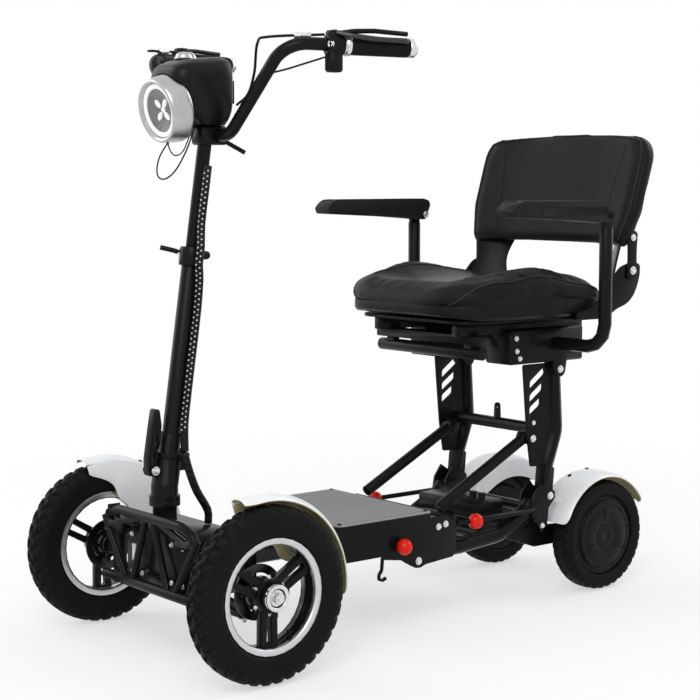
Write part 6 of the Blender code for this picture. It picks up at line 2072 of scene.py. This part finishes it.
        top = [(x, height + 0.003, 0.020) for x in (-0.10, 0.0, 0.10)]
        route = [self.back_point(a, f, -x) for x, a, f in front]
        route += [self.back_point(a, f, x) for x, a, f in top]
        route += [self.back_point(a, f, x) for x, a, f in front[::-1]]
        self._seam("backrest_piping", swollen, route, 0.0019, "backrest")
        rear = [self.back_point(a, -0.001, self.half_at(a) - 0.008) for a in levels]
        for side in Side:
            line = [Vector((point.x * side.sign, point.y, point.z)) for point in rear]
            self._seam(f"backrest_rear_seam_{side.tag}", swollen, line, 0.0015, "backrest")
            dart = [self.back_point(a, 0.05,
                                    side.sign * (0.150 + 0.028 * (a / height) ** 2)) for a in levels[2:29]]
            self._seam(f"backrest_dart_{side.tag}", swollen, dart, 0.0009, "backrest")

    def armrests(self) -> None:
        """The pads' arc seams, side panels and pivot screws."""
        for side in Side:
            sign, tag = side.sign, side.tag
            body = f"armrest_{tag}"
            arc = []
            for step in range(25):
                share = step / 24
                turn = math.radians(200 * share - 10)
                arc.append(place(sign * (0.272 + 0.0232 * math.cos(turn)),
                                 0.549 + 0.010 * math.sin(max(min(turn, math.pi), 0.0)),
                                 0.778 + 0.0212 * math.sin(max(min(turn, math.pi),
                                                               0.0)) - (0.008 if turn < 0 or turn > math.pi else 0.0)))
            pad = frame["nodes"][f"armrest_pad_{tag}"]
            line = []
            for point in arc:
                found, spot, normal, _ = pad.closest_point_on_mesh(point)
                line.append(spot + normal * 0.0003 if found else point)
            fit(cable("arc", line, 0.0011, 60, 8), f"armrest_seam_{tag}", body, "grip_rubber",
                self.finishes.piping)
            panel = block(place(sign * 0.2951, 0.700, 0.7795), (0.0012, 0.180, 0.0170))
            choose(panel, lambda face: face.normal.x * sign > 0.9)
            bpy.ops.mesh.inset(thickness=0.0018, depth=0)
            bpy.ops.mesh.extrude_region_move(TRANSFORM_OT_translate={"value": (-0.0006 * sign, 0, 0)})
            end_edit(panel)
            round_edges(panel, 0.0003, 2)
            fit(panel, f"armrest_panel_{tag}", body, "grip_rubber", self.finishes.plastic)
            outer = bolt(place(sign * 0.2951, 0.800, 0.770), ACROSS * sign, 0.0056, 0.0034)
            fit(outer, f"armrest_screw_{tag}", body, "black_paint", self.finishes.gloss)
            inner = bolt(place(sign * 0.2489, 0.806, 0.766), ACROSS * -sign, 0.0056, 0.0034)
            fit(inner, f"armrest_bolt_{tag}", body, "bright_alloy", self.finishes.alloy)

    def build(self) -> None:
        """Makes all of the upholstery."""
        self.cushion()
        self.backrest()
        self.armrests()


@dataclass
class Studio:
    """The camera, the pale floor, the white surroundings and the soft lamps."""

    camera_at: tuple[float, float, float] = (2.4555, -1.5886, 0.8242)
    lens: float = 85.33

    def camera(self) -> None:
        """Sets the photograph's viewing angle."""
        data = bpy.data.cameras.new("camera")
        data.lens = self.lens
        data.sensor_width = 36.0
        data.clip_end = 50.0
        camera = bpy.data.objects.new("camera", data)
        bpy.context.scene.collection.objects.link(camera)
        look, right, upward = Vector((-0.7743, 0.6250, -0.0976)), Vector((0.628, 0.778,
                                                                          0.0)), Vector((-0.0759, 0.0613, 0.9949))
        turn = Matrix((right.normalized(), upward.normalized(), -look.normalized())).transposed().to_4x4()
        camera.matrix_world = Matrix.Translation(place(*self.camera_at)) @ turn
        bpy.context.scene.camera = camera

    def floor(self) -> None:
        """A wide pale floor that keeps the shadow and fades to white."""
        deselect()
        bpy.ops.mesh.primitive_circle_add(vertices=96, radius=14.0, fill_type="NGON",
                                          location=(0, 0, -0.0004))
        piece = settle(bpy.context.object)
        piece.name = "floor"
        graph = Graph("studio_floor")
        mottle = graph.noise(0.8, 2.0)
        colour = graph.mix(mottle, (0.90, 0.90, 0.90), (0.93, 0.93, 0.93))
        matt = graph.add("ShaderNodeBsdfPrincipled", None, {"Base Color": colour, "Roughness": 0.9,
                                                            "Specular IOR Level": 0.1})
        glow = graph.add("ShaderNodeEmission", None, {"Color": (1.0, 1.0, 1.0), "Strength": 1.0})
        path = graph.add("ShaderNodeLightPath")
        either = graph.add("ShaderNodeMath", {"operation": "MAXIMUM"},
                           {0: path.outputs["Is Glossy Ray"], 1: path.outputs["Is Transmission Ray"]})
        all_three = graph.add("ShaderNodeMath", {"operation": "MAXIMUM"},
                              {0: either.outputs[0], 1: path.outputs["Is Camera Ray"]})
        seen = Value(graph, all_three.outputs[0])
        far = graph.add("ShaderNodeVectorMath", {"operation": "LENGTH"}, {0: graph.spot(scale=(1, 1, 0))})
        fade = Value(graph, far.outputs["Value"]).ease(0.9, 2.6)
        mixed = graph.add("ShaderNodeMixShader", None, {0: seen * (fade * 0.45 + 0.55), 1: matt.outputs[0],
                                                        2: glow.outputs[0]})
        graph.tree.links.new(mixed.outputs[0], graph.out.inputs[0])
        dress(piece, graph.material)

    def world(self) -> None:
        """White where the camera, gloss and glass look, and a plain soft light elsewhere."""
        world = bpy.data.worlds.new("surroundings")
        bpy.context.scene.world = world
        world.use_nodes = True
        tree = world.node_tree
        tree.nodes.clear()
        out = tree.nodes.new("ShaderNodeOutputWorld")
        path = tree.nodes.new("ShaderNodeLightPath")
        either = tree.nodes.new("ShaderNodeMath")
        either.operation = "MAXIMUM"
        tree.links.new(path.outputs["Is Glossy Ray"], either.inputs[0])
        tree.links.new(path.outputs["Is Transmission Ray"], either.inputs[1])
        all_three = tree.nodes.new("ShaderNodeMath")
        all_three.operation = "MAXIMUM"
        tree.links.new(either.outputs[0], all_three.inputs[0])
        tree.links.new(path.outputs["Is Camera Ray"], all_three.inputs[1])
        dim = tree.nodes.new("ShaderNodeBackground")
        dim.inputs[0].default_value = (1.0, 1.0, 1.0, 1.0)
        dim.inputs[1].default_value = 0.66
        white = tree.nodes.new("ShaderNodeBackground")
        white.inputs[0].default_value = (1.0, 1.0, 1.0, 1.0)
        white.inputs[1].default_value = 1.0
        mixed = tree.nodes.new("ShaderNodeMixShader")
        tree.links.new(all_three.outputs[0], mixed.inputs[0])
        tree.links.new(dim.outputs[0], mixed.inputs[1])
        tree.links.new(white.outputs[0], mixed.inputs[2])
        tree.links.new(mixed.outputs[0], out.inputs[0])

    def lamps(self) -> None:
        """Three large soft panels: over the left front, the right and the back."""
        table = (("key", (2.2, -2.4, 2.8), 2.2, 66.0), ("fill", (-2.6, -1.6, 1.9), 2.4, 30.0),
                 ("back", (0.6, 3.0, 2.6), 2.2, 34.0))
        for name, spot, size, power in table:
            data = bpy.data.lights.new(name, "AREA")
            data.shape = "SQUARE"
            data.size = size
            data.energy = power
            lamp = bpy.data.objects.new(name, data)
            bpy.context.scene.collection.objects.link(lamp)
            lamp.location = spot
            lamp.rotation_euler = (Vector((0, 0, 0.45)) - Vector(spot)).to_track_quat("-Z", "Y").to_euler()

    def build(self) -> None:
        """Sets the whole studio up."""
        bpy.context.scene.view_settings.view_transform = "Standard"
        self.camera()
        self.floor()
        self.world()
        self.lamps()


def main() -> None:
    """Builds the studio and each assembly in turn."""
    logging.basicConfig(level=logging.INFO, format="%(name)s: %(message)s")
    random.seed(7)
    Studio().build()
    finishes = Finishes()
    Carried(finishes).dress()
    for side in Side:
        FrontWheel(finishes, side).build()
        Fender(finishes, side, "front", f"knuckle_{side.tag}", (0.0, 0.151), 0.258, 0.024, 0.169,
               (-8.0, 107.0), FRONT_SKIRT, 0.004).build()
        Fender(finishes, side, "rear", "chassis", (0.926, 0.113), 0.1375, 0.044, 0.1310, (27.0, 163.0),
               REAR_SKIRT).build()
        RearWheel(finishes, side).build()
    Headlamp(finishes).build()
    Console(finishes).build()
    Handlebar(finishes).build()
    Column(finishes).build()
    Chassis(finishes).build()
    SeatPlates(finishes).build()
    Upholstery(finishes).build()
    Smoothed(finishes).build()


if __name__ == "__main__":
    main()
